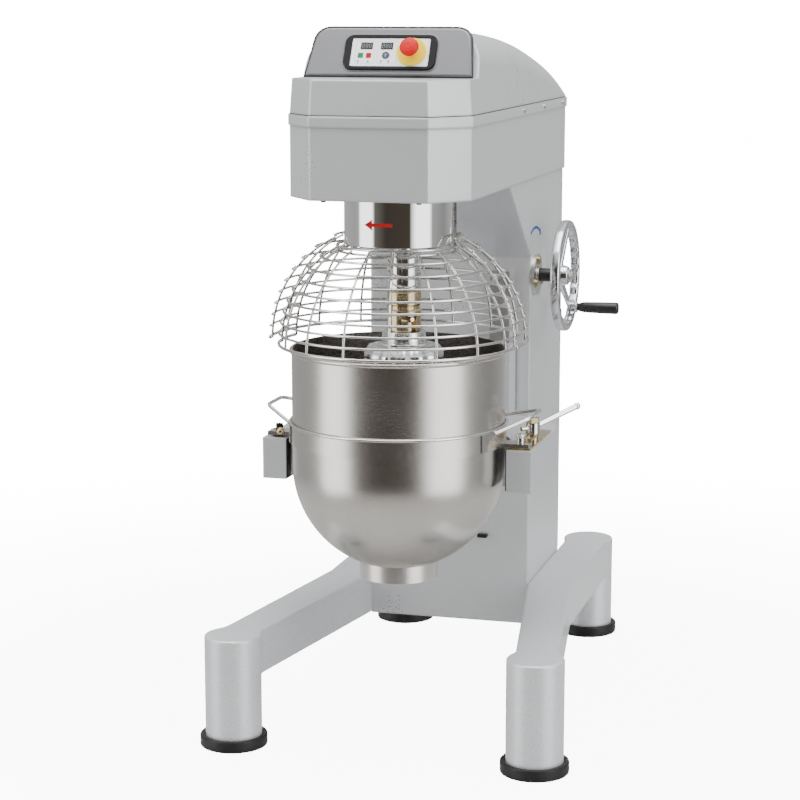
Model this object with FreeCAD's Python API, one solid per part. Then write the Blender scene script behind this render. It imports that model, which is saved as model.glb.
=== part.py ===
"""Floor-standing planetary mixer with a 60 litre bowl and a hand-wheel bowl lift.

Millimetres. +Z is up, -Y is the front, +X is the side with the hand wheel. The origin is on the floor, under
the middle of the machine's outline. Every sub-part is written to parts/NODE.step.
"""
import FreeCAD, Part
import math
import os

V = FreeCAD.Vector

# ---- stand -------------------------------------------------------------------------------------------------
STAND_TOP = 240.5          # top face of the beams and leg posts
BEAM_HEIGHT = 95.0
BEAM_WIDTH = 100.0         # beside the column
BEAM_TIP_WIDTH = 88.0      # where the front arm reaches its leg post
BEAM_WALL = 5.0
BEAM_EDGE = 5.0            # rounding of the beams' long edges and of the posts' tops
FLARE_RADIUS = 62.0        # concave run-out of a beam into its leg post
LEG_RADIUS = 60.0
LEG_WALL = 5.0
FRONT_LEG_X = 326.0
FRONT_LEG_Y = -501.0
REAR_LEG_Y = 548.0
FOOT_RADIUS = 71.5
FOOT_HEIGHT = 26.0
FOOT_FLOOR = 12.0          # rubber under the leg post
LEVEL_SCREW_RADIUS = 8.0

# ---- column ------------------------------------------------------------------------------------------------
COLUMN_HALF_WIDTH = 186.0
COLUMN_FRONT = 65.5
COLUMN_REAR = 409.5
COLUMN_WALL = 5.0
NECK_START = 992.0         # where the sloped neck under the head leaves the column's front
NECK_REACH = 222.0         # how far the neck comes forward at the head
COVER_SHEET = 4.0

# ---- head --------------------------------------------------------------------------------------------------
HEAD_BOTTOM = 1166.0
HEAD_SEAM = 1332.0
HEAD_LEDGE = 1403.0
HEAD_FRONT = -589.5
HEAD_REAR = 421.5
HEAD_HALF_WIDTH = 189.0
HEAD_NOSE_HALF = 121.0     # half width of the flat front
HEAD_WALL = 6.0
FLANGE_PROUD = 3.0
FLANGE_HEIGHT = 22.0
COVER_LEAN = 0.07          # inward lean of the cover's sides, per unit of height
COVER_WALL = 4.0

# ---- control pod -------------------------------------------------------------------------------------------
POD_FOOT_Y = -450.5        # lower front edge of the inclined face
POD_FOOT_Z = 1408.0
POD_TILT = 28.0            # degrees back from upright
POD_HALF_WIDTH = 175.0
POD_TOP_HALF_WIDTH = 160.0
POD_FACE_HEIGHT = 107.0
POD_CORNER = 38.0
POD_DEPTH = 20.0

# ---- bowl and planetary drive ------------------------------------------------------------------------------
BOWL_Y = -369.0            # axis of the bowl and of the planetary drive
BOWL_RADIUS = 222.0
BOWL_RIM = 842.0
BOWL_BOTTOM = 379.0
BOWL_WALL = 2.5
RIM_BEAD = 5.0
BAND_BOTTOM = 651.0
BAND_HEIGHT = 40.0
BAND_WALL = 4.0
FOOT_RING_RADIUS = 82.0
FOOT_RING_BOTTOM = 360.0
DRUM_RADIUS = 112.0
DRUM_BOTTOM = 1063.0
DRUM_TOP = 1172.0
GEAR_MODULE = 3.0
RING_TEETH = 66
PLANET_TEETH = 18
OFFSET_ANGLE = -65.0       # where the agitator stands around the bowl axis
PLANET_OFFSET = GEAR_MODULE * (RING_TEETH - PLANET_TEETH) / 2
DRIVEN_PULLEY_RADIUS = 130.0
MOTOR_PULLEY_RADIUS = 45.0
MOTOR_Y = 238.5
MOTOR_RADIUS = 92.0

# ---- bowl lift ---------------------------------------------------------------------------------------------
LIFT_TRAVEL = 240.0
WHEEL_Y = 107.5            # axis of the hand wheel, and of the lift screw behind the column's front
WHEEL_Z = 948.0
WHEEL_PLANE = 256.0
WHEEL_RADIUS = 125.0
BEVEL_MODULE = 2.0
PINION_TEETH = 16
BEVEL_TEETH = 32
BEVEL_FACE = 12.0
SCREW_RADIUS = 14.0
YOKE_BOTTOM = 558.0
YOKE_HEIGHT = 88.0
YOKE_INNER = 238.0
YOKE_ARM = 52.0
YOKE_WALL = 12.0
YOKE_CORNER = 150.0
YOKE_FRONT = -398.5

# ---- wire guard --------------------------------------------------------------------------------------------
GUARD_WIRE = 2.6           # wire radius
GUARD_SPAN = 202.5         # degrees round the bowl
GUARD_SECTORS = 9
FRONT_GUARD = {"top_r": 127.0, "top_z": 1060.0, "low_r": 248.0, "low_z": 856.0, "rings": 10, "middle": -90.0}
REAR_GUARD = {"top_r": 132.0, "top_z": 1079.0, "low_r": 268.0, "low_z": 865.0, "rings": 10, "middle": 90.0}

# ---- fits --------------------------------------------------------------------------------------------------
RUNNING = 0.05             # radial clearance of a shaft in its bearing
GAP = 0.4                  # clearance between parts that slide or pass each other


# ---- shapes used throughout --------------------------------------------------------------------------------
def block(x0, x1, y0, y1, z0, z1):
    return Part.makeBox(x1 - x0, y1 - y0, z1 - z0, V(x0, y0, z0))


def post(radius, z0, z1, x=0.0, y=0.0):
    return Part.makeCylinder(radius, z1 - z0, V(x, y, z0))


def rod(radius, start, end):
    return Part.makeCylinder(radius, (end - start).Length, start, end - start)


def pipe(outer, inner, z0, z1, x=0.0, y=0.0):
    return post(outer, z0, z1, x, y).cut(post(inner, z0 - 1, z1 + 1, x, y))


def bush(outer, inner, start, end):
    reach = (end - start).normalize()
    return rod(outer, start, end).cut(rod(inner, start - reach, end + reach))


def prism(points, direction):
    return Part.Face(Part.makePolygon(points + points[:1])).extrude(direction)


def plan_prism(outline, z0, z1):
    return prism([V(x, y, z0) for x, y in outline], V(0, 0, z1 - z0))


def side_prism(outline, x0, x1):
    """An outline of (y, z) points, pushed along X."""
    return prism([V(x0, y, z) for y, z in outline], V(x1 - x0, 0, 0))


def turned(profile, x=0.0, y=0.0):
    """A closed outline of (radius, z) points, turned about the vertical through x, y."""
    points = [V(x + r, y, z) for r, z in profile]
    return Part.Face(Part.makePolygon(points + points[:1])).revolve(V(x, y, 0), V(0, 0, 1), 360)


def bent_rod(path, radius):
    """Round bar along an edge or a smooth chain of edges."""
    wire = path if isinstance(path, Part.Wire) else Part.Wire([path])
    first = wire.OrderedEdges[0]
    start = wire.OrderedVertexes[0].Point
    tangent = first.tangentAt(first.getParameterByLength(0.0))
    ring = Part.Wire([Part.Circle(start, tangent, radius).toShape()])
    return wire.makePipeShell([ring], True, False)


def mirrored(shape):
    return shape.mirror(V(0, 0, 0), V(1, 0, 0))


def both_sides(shape):
    return [shape, mirrored(shape)]


def turned_copy(shape, angle, centre, axis=V(0, 0, 1)):
    copy = shape.copy()
    copy.rotate(centre, axis, angle)
    return copy


def ring_of(shape, angles, centre, axis=V(0, 0, 1)):
    return [turned_copy(shape, angle, centre, axis) for angle in angles]


def group(solids):
    return Part.makeCompound(solids)


def fused(solids):
    return solids[0].fuse(solids[1:]).removeSplitter()


def inset(outline, distance):
    """A convex outline of (x, y) points, listed anticlockwise, moved in by a distance."""
    moved = []
    count = len(outline)
    for i in range(count):
        ax, ay = outline[i - 1]
        bx, by = outline[i]
        cx, cy = outline[(i + 1) % count]
        first = V(bx - ax, by - ay, 0).normalize()
        second = V(cx - bx, cy - by, 0).normalize()
        normal = V(-first.y - second.y, first.x + second.x, 0)
        reach = distance / (1 + first.dot(second))
        moved.append((bx + normal.x * reach, by + normal.y * reach))
    return moved


def hexagon(across, start, end):
    """Hexagon bar between two points on an axis."""
    axis = (end - start).normalize()
    side = axis.cross(V(0, 0, 1) if abs(axis.z) < 0.9 else V(1, 0, 0)).normalize()
    up = axis.cross(side)
    reach = across / math.sqrt(3)
    corners = [start + side * (reach * math.cos(math.radians(60 * i)))
               + up * (reach * math.sin(math.radians(60 * i))) for i in range(6)]
    return prism(corners, end - start)


# ---- stand: beams, leg posts and feet ----------------------------------------------------------------------
REAR_LEG_X = COLUMN_HALF_WIDTH + BEAM_WIDTH / 2
BEAM_BOTTOM = STAND_TOP - BEAM_HEIGHT
FRONT_LEG = V(FRONT_LEG_X, FRONT_LEG_Y, 0)
REAR_LEG = V(REAR_LEG_X, REAR_LEG_Y, 0)
BEND = V(REAR_LEG_X, COLUMN_FRONT, 0)
LEGS = [FRONT_LEG, REAR_LEG]


def flare(leg, heading, side, half_width, radius):
    """Start and arc of the run-out on one side of a beam, from the beam's flank to the post's round."""
    across = V(-heading.y, heading.x, 0) * side
    back = math.sqrt((LEG_RADIUS + radius) ** 2 - (half_width + radius) ** 2)
    centre = leg - heading * back + across * (half_width + radius)
    on_beam = leg - heading * back + across * half_width
    on_post = leg + (centre - leg).normalize() * LEG_RADIUS
    middle = centre + ((on_beam + on_post) * 0.5 - centre).normalize() * radius
    return on_beam, middle, on_post


def beam_core(thinner, z0, z1):
    """The beam's outline in plan, as a prism. A thinner one is the hollow inside."""
    half = BEAM_WIDTH / 2 - thinner
    tip_half = BEAM_TIP_WIDTH / 2 - thinner
    radius = FLARE_RADIUS + thinner
    ahead = (FRONT_LEG - BEND).normalize()
    astern = (REAR_LEG - BEND).normalize()
    edges = []
    corners = {}
    for side in (1, -1):
        front = flare(FRONT_LEG, ahead, side, tip_half, radius)
        rear = flare(REAR_LEG, astern, -side, half, radius)
        elbow = BEND + V(math.copysign(half, -ahead.y * side), 0, 0)
        edges += [Part.Arc(*front).toShape(), Part.makeLine(front[0], elbow), Part.makeLine(elbow, rear[0]),
                  Part.Arc(*rear).toShape()]
        corners[side] = (front[2], rear[2])
    edges += [Part.makeLine(corners[1][0], corners[-1][0]), Part.makeLine(corners[1][1], corners[-1][1])]
    face = Part.Face(Part.Wire(Part.__sortEdges__(edges)))
    face.translate(V(0, 0, z0))
    return face.extrude(V(0, 0, z1 - z0))


def stand_half():
    """One beam welded to its two leg posts, as one solid with its edges rounded."""
    core = beam_core(0.0, BEAM_BOTTOM, STAND_TOP)
    weld = 2.05 * LEG_RADIUS
    under = [edge for edge in core.Edges if abs(edge.BoundBox.ZMax - BEAM_BOTTOM) < 0.1
             and (edge.Length > weld or edge.Curve.TypeId == "Part::GeomCircle")]
    core = core.makeFillet(BEAM_EDGE, under)
    half = fused([core] + [post(LEG_RADIUS, FOOT_FLOOR, STAND_TOP, leg.x, leg.y) for leg in LEGS])
    rim = [edge for edge in half.Edges if abs(edge.BoundBox.ZMin - STAND_TOP) < 0.1]
    return half.makeFillet(BEAM_EDGE, rim)


def side_beams():
    hollow = beam_core(BEAM_WALL, BEAM_BOTTOM + BEAM_WALL, STAND_TOP - BEAM_WALL)
    posts = [post(LEG_RADIUS, 0, STAND_TOP + 1, leg.x, leg.y) for leg in LEGS]
    beam = stand_half().cut([hollow] + posts)
    return group(both_sides(max(beam.Solids, key=lambda solid: solid.Volume)))


def leg_posts():
    cap = 8.0
    half = stand_half()
    posts = []
    for leg in LEGS:
        body = half.common(post(LEG_RADIUS, 0, STAND_TOP + 1, leg.x, leg.y))
        bore = post(LEG_RADIUS - LEG_WALL, FOOT_FLOOR + cap, STAND_TOP - cap, leg.x, leg.y)
        posts += both_sides(body.cut([bore, post(LEVEL_SCREW_RADIUS, 0, FOOT_FLOOR + cap + 1, leg.x,
                                                 leg.y)]))
    return group(posts)


def rubber_feet():
    lip = LEG_RADIUS + 1.0
    hole = LEVEL_SCREW_RADIUS
    profile = [(0, 0), (FOOT_RADIUS - 4, 0), (FOOT_RADIUS, 4), (FOOT_RADIUS, FOOT_HEIGHT - 5),
               (FOOT_RADIUS - 4, FOOT_HEIGHT), (lip, FOOT_HEIGHT), (lip, FOOT_FLOOR), (hole, FOOT_FLOOR),
               (hole, FOOT_FLOOR - 6), (0, FOOT_FLOOR - 6)]
    return group([shape for leg in LEGS for shape in both_sides(turned(profile, leg.x, leg.y))])


def levelling_screws():
    length = 60.0
    base = FOOT_FLOOR - 6
    return group([shape for leg in LEGS
                  for shape in both_sides(post(LEVEL_SCREW_RADIUS, base, base + length, leg.x, leg.y))])


# ---- column ------------------------------------------------------------------------------------------------
SLIDE_BOTTOM = 470.0
SLIDE_TOP = 960.0
SLIDE_OUTER = 143.0
SLIDE_INNER = 97.0
SLIDE_DEPTH = 20.0
NUT_HEIGHT = 46.0
NUT_BOTTOM = YOKE_BOTTOM + 20
NUT_HALF_WIDTH = 20.0
SLOT_HALF_WIDTH = NUT_HALF_WIDTH + 4
FLANGE_BOSS_RADIUS = 18.0
COVER_SCREW_HEIGHTS = [300.0, 700.0, 1100.0]


def neck(thinner):
    """The sloped neck below the head, in front of the column. A thinner one is its hollow."""
    half = COLUMN_HALF_WIDTH - thinner
    slope = [(COLUMN_FRONT - NECK_REACH, HEAD_BOTTOM), (COLUMN_FRONT + thinner, NECK_START),
             (COLUMN_FRONT + thinner, HEAD_BOTTOM)]
    if thinner:
        inner_start = NECK_START + 1.8 * thinner
        slope = [(COLUMN_FRONT - NECK_REACH + 2.2 * thinner, HEAD_BOTTOM), (COLUMN_FRONT, inner_start),
                 (COLUMN_FRONT + 2 * thinner, inner_start), (COLUMN_FRONT + 2 * thinner, HEAD_BOTTOM)]
    return side_prism(slope, -half, half)


def column_shell():
    wall = COLUMN_WALL
    outer = block(-COLUMN_HALF_WIDTH, COLUMN_HALF_WIDTH, COLUMN_FRONT, COLUMN_REAR, BEAM_BOTTOM, HEAD_BOTTOM)
    inner = block(wall - COLUMN_HALF_WIDTH, COLUMN_HALF_WIDTH - wall, COLUMN_FRONT + wall,
                  COLUMN_REAR - wall,
                  BEAM_BOTTOM + wall, HEAD_BOTTOM + 1)
    rim = 20.0
    hatch = block(rim - COLUMN_HALF_WIDTH, COLUMN_HALF_WIDTH - rim, COLUMN_REAR - 2 * wall, COLUMN_REAR + 1,
                  STAND_TOP + rim, HEAD_BOTTOM - rim)
    slot = block(-SLOT_HALF_WIDTH, SLOT_HALF_WIDTH, COLUMN_FRONT - 1, COLUMN_FRONT + wall + 1,
                 NUT_BOTTOM - LIFT_TRAVEL - 6, NUT_BOTTOM + NUT_HEIGHT + 6)
    shaft_hole = rod(FLANGE_BOSS_RADIUS, V(COLUMN_HALF_WIDTH - 2 * wall, WHEEL_Y, WHEEL_Z),
                     V(COLUMN_HALF_WIDTH + 1, WHEEL_Y, WHEEL_Z))
    shell = outer.fuse(neck(0.0)).removeSplitter()
    return shell.cut([inner, neck(wall), hatch, slot, shaft_hole])


def column_rear_cover():
    half = COLUMN_HALF_WIDTH
    sheet = block(-half, half, COLUMN_REAR, COLUMN_REAR + COVER_SHEET, STAND_TOP + 4, HEAD_BOTTOM - 4)
    louvre = block(-90, 90, COLUMN_REAR - 1, COLUMN_REAR + COVER_SHEET + 1, 0, 7)
    louvres = [louvre.translated(V(0, 0, 900 + 20 * i)) for i in range(8)]
    gland = rod(11.0, V(-120, COLUMN_REAR - 1, 330), V(-120, COLUMN_REAR + COVER_SHEET + 1, 330))
    return sheet.cut(louvres + [gland])


def cover_screws():
    head = COLUMN_REAR + COVER_SHEET
    back = [rod(7.0, V(x, head, z), V(x, head + 4, z))
            for x in (-COLUMN_HALF_WIDTH + 12, COLUMN_HALF_WIDTH - 12) for z in COVER_SCREW_HEIGHTS]
    side = HEAD_HALF_WIDTH + FLANGE_PROUD
    height = HEAD_SEAM - FLANGE_HEIGHT / 2
    row = [rod(5.0, V(side, y, height), V(side + 3, y, height)) for y in (-46.0, 164.0, 374.0)]
    return group(back + row + [mirrored(screw) for screw in row])


def base_cross_member():
    half = COLUMN_HALF_WIDTH - COLUMN_WALL
    floor = BEAM_BOTTOM + COLUMN_WALL
    middle = (COLUMN_FRONT + COLUMN_REAR) / 2
    box = block(-half, half, middle - 60, middle + 60, floor, floor + 60)
    return box.cut(block(-half - 1, half + 1, middle - 54, middle + 54, floor + 6, floor + 54))


def slideways():
    back = COLUMN_FRONT
    front = COLUMN_FRONT - SLIDE_DEPTH
    outline = [(SLIDE_INNER, back), (SLIDE_INNER, front), (SLIDE_OUTER, front), (SLIDE_OUTER - 12, back)]
    return group(both_sides(plan_prism(outline, SLIDE_BOTTOM, SLIDE_TOP)))


def cable_gland():
    start = V(-120, COLUMN_REAR - 6, 330)
    face = V(-120, COLUMN_REAR + COVER_SHEET, 330)
    body = fused([rod(11.0, start, face), hexagon(28.0, face, face + V(0, 8, 0)),
                  rod(11.0, face + V(0, 8, 0), face + V(0, 24, 0))])
    return body.cut(rod(5.5, start - V(0, 1, 0), face + V(0, 25, 0)))


# ---- bowl lift: screw, bevel gears and hand wheel ----------------------------------------------------------
BEVEL_CONE = math.atan2(BEVEL_TEETH, PINION_TEETH)
APEX = V(0, WHEEL_Y, WHEEL_Z)
BEVEL_REACH = BEVEL_MODULE * PINION_TEETH / 2 / math.cos(BEVEL_CONE)
SHAFT_RADIUS = 11.0
PINION_BORE = 7.0
PINION_END = 50.0          # where the shaft steps down to its pinion
SCREW_TOP = WHEEL_Z - 12
SCREW_BOTTOM = YOKE_BOTTOM - LIFT_TRAVEL - 38
LOWER_BRACKET = SCREW_BOTTOM + 4
UPPER_BRACKET = WHEEL_Z - 65
BRACKET_HEIGHT = 22.0
HUB_START = WHEEL_PLANE - 30
HUB_END = WHEEL_PLANE + 8
GRIP_OFFSET = V(0, 70, -80)
GRIP_START = WHEEL_PLANE + 16
GRIP_END = 366.0
SPINDLE_RADIUS = 5.0


def involute(angle):
    return math.tan(angle) - angle


def tooth_half_angle(teeth, pitch, radius, play):
    """Half the angle of an involute tooth at a radius, thinned by half the play."""
    base = pitch * math.cos(math.radians(20))
    slope = math.acos(min(base / max(radius, base), 1.0))
    return math.pi / (2 * teeth) - play / (2 * pitch) + involute(math.radians(20)) - involute(slope)


def bevel_gear(teeth, cone, bore, hub, hub_length, axis, contact, first):
    """A straight bevel gear with its cone's tip at the origin. axis points from the tip to the gear, contact
    is the side where it meets its mate, and first is the angle from there to a tooth, in pitches."""
    module = BEVEL_MODULE
    pitch = module * teeth / 2
    reach = pitch / math.sin(cone)
    small = (reach - BEVEL_FACE) / reach
    virtual = teeth / math.cos(cone)
    virtual_pitch = module * virtual / 2
    outer = V(math.sin(cone), 0, math.cos(cone)) * reach
    rise = V(math.cos(cone), 0, -math.sin(cone))
    heights = [-1.2 * module - 0.7, -0.5 * module, 0.25 * module, 0.9 * module]
    flank = [(h, tooth_half_angle(virtual, virtual_pitch, virtual_pitch + h, 0.5) * (virtual_pitch + h))
             for h in heights]
    section = [outer + rise * h + V(0, t, 0) for h, t in flank] + \
              [outer + rise * h - V(0, t, 0) for h, t in reversed(flank)]
    large = Part.makePolygon(section + section[:1])
    little = Part.makePolygon([p * small for p in section + section[:1]])
    tooth = Part.makeLoft([large, little], True, True)
    root = outer - rise * (1.2 * module)
    body = turned([(bore, root.z * small), (root.x * small, root.z * small), (root.x, root.z),
                   (hub, root.z + 3), (hub, root.z + hub_length), (bore, root.z + hub_length)])
    step = 360.0 / teeth
    gear = body.fuse(ring_of(tooth, [step * (i + first) for i in range(teeth)], V(0, 0, 0)))
    frame = FreeCAD.Matrix()
    across = axis.cross(contact)
    frame.A11, frame.A21, frame.A31 = contact.x, contact.y, contact.z
    frame.A12, frame.A22, frame.A32 = across.x, across.y, across.z
    frame.A13, frame.A23, frame.A33 = axis.x, axis.y, axis.z
    gear.transformShape(frame)
    gear.translate(APEX)
    return gear


def bevel_wheel():
    return bevel_gear(BEVEL_TEETH, BEVEL_CONE, 10.0, 24.0, 16.0, V(0, 0, -1), V(1, 0, 0), 0.0)


def bevel_pinion():
    cone = math.pi / 2 - BEVEL_CONE
    return bevel_gear(PINION_TEETH, cone, PINION_BORE, 11.0, 16.0, V(1, 0, 0), V(0, 0, -1), 0.5)


def lift_screw():
    seat = UPPER_BRACKET + BRACKET_HEIGHT
    return turned([(0, SCREW_BOTTOM), (SCREW_RADIUS, SCREW_BOTTOM), (SCREW_RADIUS, seat), (20, seat),
                   (20, seat + 8), (10, seat + 8), (10, SCREW_TOP), (0, SCREW_TOP)], 0, WHEEL_Y)


def screw_bearings():
    brackets = []
    for base in (LOWER_BRACKET, UPPER_BRACKET):
        plate = block(-60, 60, COLUMN_FRONT + COLUMN_WALL, WHEEL_Y + 40, base, base + BRACKET_HEIGHT)
        bore = post(SCREW_RADIUS + RUNNING, base - 1, base + BRACKET_HEIGHT + 1, 0, WHEEL_Y)
        brackets.append(plate.cut(bore))
    return group(brackets)


def handwheel_shaft():
    step = APEX + V(PINION_END, 0, 0)
    inner = rod(PINION_BORE, APEX + V(20, 0, 0), step)
    return inner.fuse(rod(SHAFT_RADIUS, step, V(HUB_END, WHEEL_Y, WHEEL_Z)))


def handwheel_flange():
    face = V(COLUMN_HALF_WIDTH, WHEEL_Y, WHEEL_Z)
    body = fused([rod(46.0, face, face + V(8, 0, 0)),
                  rod(FLANGE_BOSS_RADIUS, face - V(40, 0, 0), face + V(12, 0, 0))])
    return body.cut(rod(SHAFT_RADIUS + RUNNING, face - V(41, 0, 0), face + V(13, 0, 0)))


def flange_bolts():
    face = V(COLUMN_HALF_WIDTH + 8, WHEEL_Y, WHEEL_Z)
    one = hexagon(13.0, face + V(0, 0, 33), face + V(6, 0, 33))
    return group(ring_of(one, [0, 120, 240], face, V(1, 0, 0)))


def handwheel_collar():
    start = V(COLUMN_HALF_WIDTH + 12 + GAP, WHEEL_Y, WHEEL_Z)
    return bush(14.0, SHAFT_RADIUS, start, V(HUB_START, WHEEL_Y, WHEEL_Z))


def handwheel():
    centre = V(WHEEL_PLANE, WHEEL_Y, WHEEL_Z)
    rim_section = 9.0
    rim = Part.makeTorus(WHEEL_RADIUS - rim_section, rim_section, centre, V(1, 0, 0))
    hub = rod(22.0, V(HUB_START, WHEEL_Y, WHEEL_Z), V(HUB_END, WHEEL_Y, WHEEL_Z))
    spoke = rod(8.0, V(HUB_START + 13, WHEEL_Y, WHEEL_Z), centre + V(0, 0, WHEEL_RADIUS - rim_section))
    grip_angle = math.degrees(math.atan2(-GRIP_OFFSET.y, GRIP_OFFSET.z))
    spokes = ring_of(spoke, [grip_angle + 120 * i for i in range(3)], centre, V(1, 0, 0))
    seat = centre + GRIP_OFFSET
    boss = rod(13.0, seat - V(7, 0, 0), V(GRIP_START - GAP, seat.y, seat.z))
    wheel = fused([rim, hub, boss] + spokes)
    bore = rod(SHAFT_RADIUS, V(HUB_START - 1, WHEEL_Y, WHEEL_Z), V(HUB_END + 1, WHEEL_Y, WHEEL_Z))
    return wheel.cut([bore, rod(SPINDLE_RADIUS, seat - V(20, 0, 0), seat + V(40, 0, 0))])


def handwheel_bolts():
    centre = V(HUB_END, WHEEL_Y, WHEEL_Z)
    washer_top = centre + V(3, 0, 0)
    end_bolt = fused([rod(15.0, centre, washer_top), hexagon(19.0, washer_top, centre + V(10, 0, 0))])
    seat = V(WHEEL_PLANE, WHEEL_Y, WHEEL_Z) + GRIP_OFFSET
    head = V(GRIP_END - 14, seat.y, seat.z)
    spindle = fused([rod(SPINDLE_RADIUS, seat - V(7, 0, 0), head), rod(8.0, head, head + V(6, 0, 0))])
    return group([end_bolt, spindle])


def handwheel_grip():
    seat = V(0, WHEEL_Y, WHEEL_Z) + GRIP_OFFSET
    length = GRIP_END - GRIP_START
    counterbore = 8 + GAP
    profile = [(SPINDLE_RADIUS + RUNNING, 0), (11.0, 0), (13.5, 0.15), (12.0, 0.53), (13.5, 0.87), (10.5, 1),
               (counterbore, 1)]
    points = [V(GRIP_START + share * length, seat.y, seat.z + radius) for radius, share in profile]
    head = GRIP_END - 14 - GAP
    points += [V(head, seat.y, seat.z + counterbore), V(head, seat.y, seat.z + SPINDLE_RADIUS + RUNNING)]
    return Part.Face(Part.makePolygon(points + points[:1])).revolve(seat, V(1, 0, 0), 360)


# ---- bowl carriage -----------------------------------------------------------------------------------------
YOKE_TOP = YOKE_BOTTOM + YOKE_HEIGHT
PLATE_BOTTOM = YOKE_BOTTOM - 38
PLATE_TOP = YOKE_TOP + 154
SEAT_PLATE = 4.0
LUG_BOTTOM = YOKE_TOP + SEAT_PLATE
LUG_THICKNESS = 8.0
PIN_X = YOKE_INNER + 24
PIN_RADIUS = 8.0
SLIDE_FRONT = COLUMN_FRONT - SLIDE_DEPTH
CARRIAGE_HALF = SLIDE_OUTER + 14
CARRIAGE_PLATE_Y = SLIDE_FRONT - 55
CLAMP_POST = V(YOKE_INNER + 34, BOWL_Y + 70, 0)
CLAMP_HEIGHT = YOKE_TOP + 31
CLAMP_HUB = 11.0           # half height of the lever's hub


def yoke_block(thinner, z0, z1):
    """The fork's outline as a solid, rounded behind the bowl. A thinner one is its pocket."""
    outer = YOKE_INNER + YOKE_ARM - thinner
    inner = YOKE_INNER + thinner
    body = block(-outer, outer, YOKE_FRONT + thinner, CARRIAGE_PLATE_Y + 4 - thinner, z0, z1)
    upright = [edge for edge in body.Edges
               if abs(edge.tangentAt(0).z) > 0.9 and edge.CenterOfMass.y > BOWL_Y]
    body = body.makeFillet(YOKE_CORNER - thinner, upright)
    return body.cut([post(inner, z0 - 1, z1 + 1, 0, BOWL_Y),
                     block(-inner, inner, YOKE_FRONT - 1, BOWL_Y, z0 - 1, z1 + 1)])


def bowl_yoke():
    """Cast fork, hollow below, with the plate that slides on the column."""
    fork = yoke_block(0.0, YOKE_BOTTOM, YOKE_TOP)
    fork = fork.cut(yoke_block(YOKE_WALL, YOKE_BOTTOM - 1, YOKE_TOP - YOKE_WALL))
    plate = block(-CARRIAGE_HALF, CARRIAGE_HALF, CARRIAGE_PLATE_Y, SLIDE_FRONT - GAP, PLATE_BOTTOM, PLATE_TOP)
    pocket = CARRIAGE_HALF - 2 * YOKE_WALL
    relief = [block(-pocket, -SLOT_HALF_WIDTH - YOKE_WALL, CARRIAGE_PLATE_Y + YOKE_WALL, SLIDE_FRONT + 1,
                    z0, z1)
              for z0, z1 in ((YOKE_BOTTOM - 20, YOKE_BOTTOM + 36), (YOKE_TOP - 30, YOKE_TOP + 36))]
    plate = plate.cut([shape for pair in relief for shape in both_sides(pair)])
    return fused([fork, plate])


def gib_plates():
    front = SLIDE_FRONT - GAP
    back = COLUMN_FRONT - 1.0
    outline = [(SLIDE_OUTER + 0.6, front), (CARRIAGE_HALF, front), (CARRIAGE_HALF, back),
               (SLIDE_OUTER - 10.6, back)]
    return group(both_sides(plan_prism(outline, PLATE_BOTTOM, PLATE_TOP)))


def lift_nut():
    body = block(-NUT_HALF_WIDTH, NUT_HALF_WIDTH, SLIDE_FRONT - GAP, WHEEL_Y + 26, NUT_BOTTOM,
                 NUT_BOTTOM + NUT_HEIGHT)
    return body.cut(post(SCREW_RADIUS + RUNNING, NUT_BOTTOM - 1, NUT_BOTTOM + NUT_HEIGHT + 1, 0, WHEEL_Y))


def bowl_pins():
    top = LUG_BOTTOM + LUG_THICKNESS + 14
    left = fused([post(14.0, YOKE_TOP, LUG_BOTTOM, -PIN_X, BOWL_Y),
                  post(PIN_RADIUS, YOKE_TOP, top, -PIN_X, BOWL_Y)])
    return group([left, post(PIN_RADIUS, LUG_BOTTOM, top, PIN_X, BOWL_Y)])


def clamp_bracket():
    """Plated strip on the right arm, under the bowl's lug and the clamp."""
    strip = block(YOKE_INNER + 2, YOKE_INNER + YOKE_ARM - 4, YOKE_FRONT + 6, BOWL_Y + 190, YOKE_TOP,
                  LUG_BOTTOM)
    return strip.cut(post(7.0, YOKE_TOP - 1, LUG_BOTTOM + 1, CLAMP_POST.x, CLAMP_POST.y))


def clamp_bolt():
    """Stud with a spacer below the lever and a nut above it, and the hold-down finger over the lug."""
    x, y = CLAMP_POST.x, CLAMP_POST.y
    stud = post(7.0, YOKE_TOP, CLAMP_HEIGHT + 22, x, y)
    finger_base = LUG_BOTTOM + LUG_THICKNESS
    spacer = post(12.0, LUG_BOTTOM, CLAMP_HEIGHT - CLAMP_HUB - GAP, x, y)
    finger = block(x - 9, x + 9, BOWL_Y + 14, y, finger_base, finger_base + 6)
    nut = hexagon(24.0, V(x, y, CLAMP_HEIGHT + CLAMP_HUB + GAP), V(x, y, CLAMP_HEIGHT + 22))
    return fused([stud, spacer, finger, nut])


def clamp_lever():
    """Hub and a round arm that rises outward and back, with a ball-shaped end."""
    foot = V(CLAMP_POST.x, CLAMP_POST.y, CLAMP_HEIGHT)
    heading = V(math.cos(math.radians(18)) * math.cos(math.radians(45)),
                math.cos(math.radians(18)) * math.sin(math.radians(45)), math.sin(math.radians(18)))
    tip = foot + heading * 116
    hub = post(15.0, CLAMP_HEIGHT - CLAMP_HUB, CLAMP_HEIGHT + CLAMP_HUB, foot.x, foot.y)
    nose = rod(5.0, foot, foot - V(heading.x, heading.y, 0) * 30)
    arm = Part.makeCone(5.0, 6.5, 116, foot, heading)
    lever = fused([hub, arm, nose, Part.makeSphere(7.5, tip)])
    return lever.cut(post(7.0 + RUNNING, CLAMP_HEIGHT - 40, CLAMP_HEIGHT + 40, foot.x, foot.y))


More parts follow.
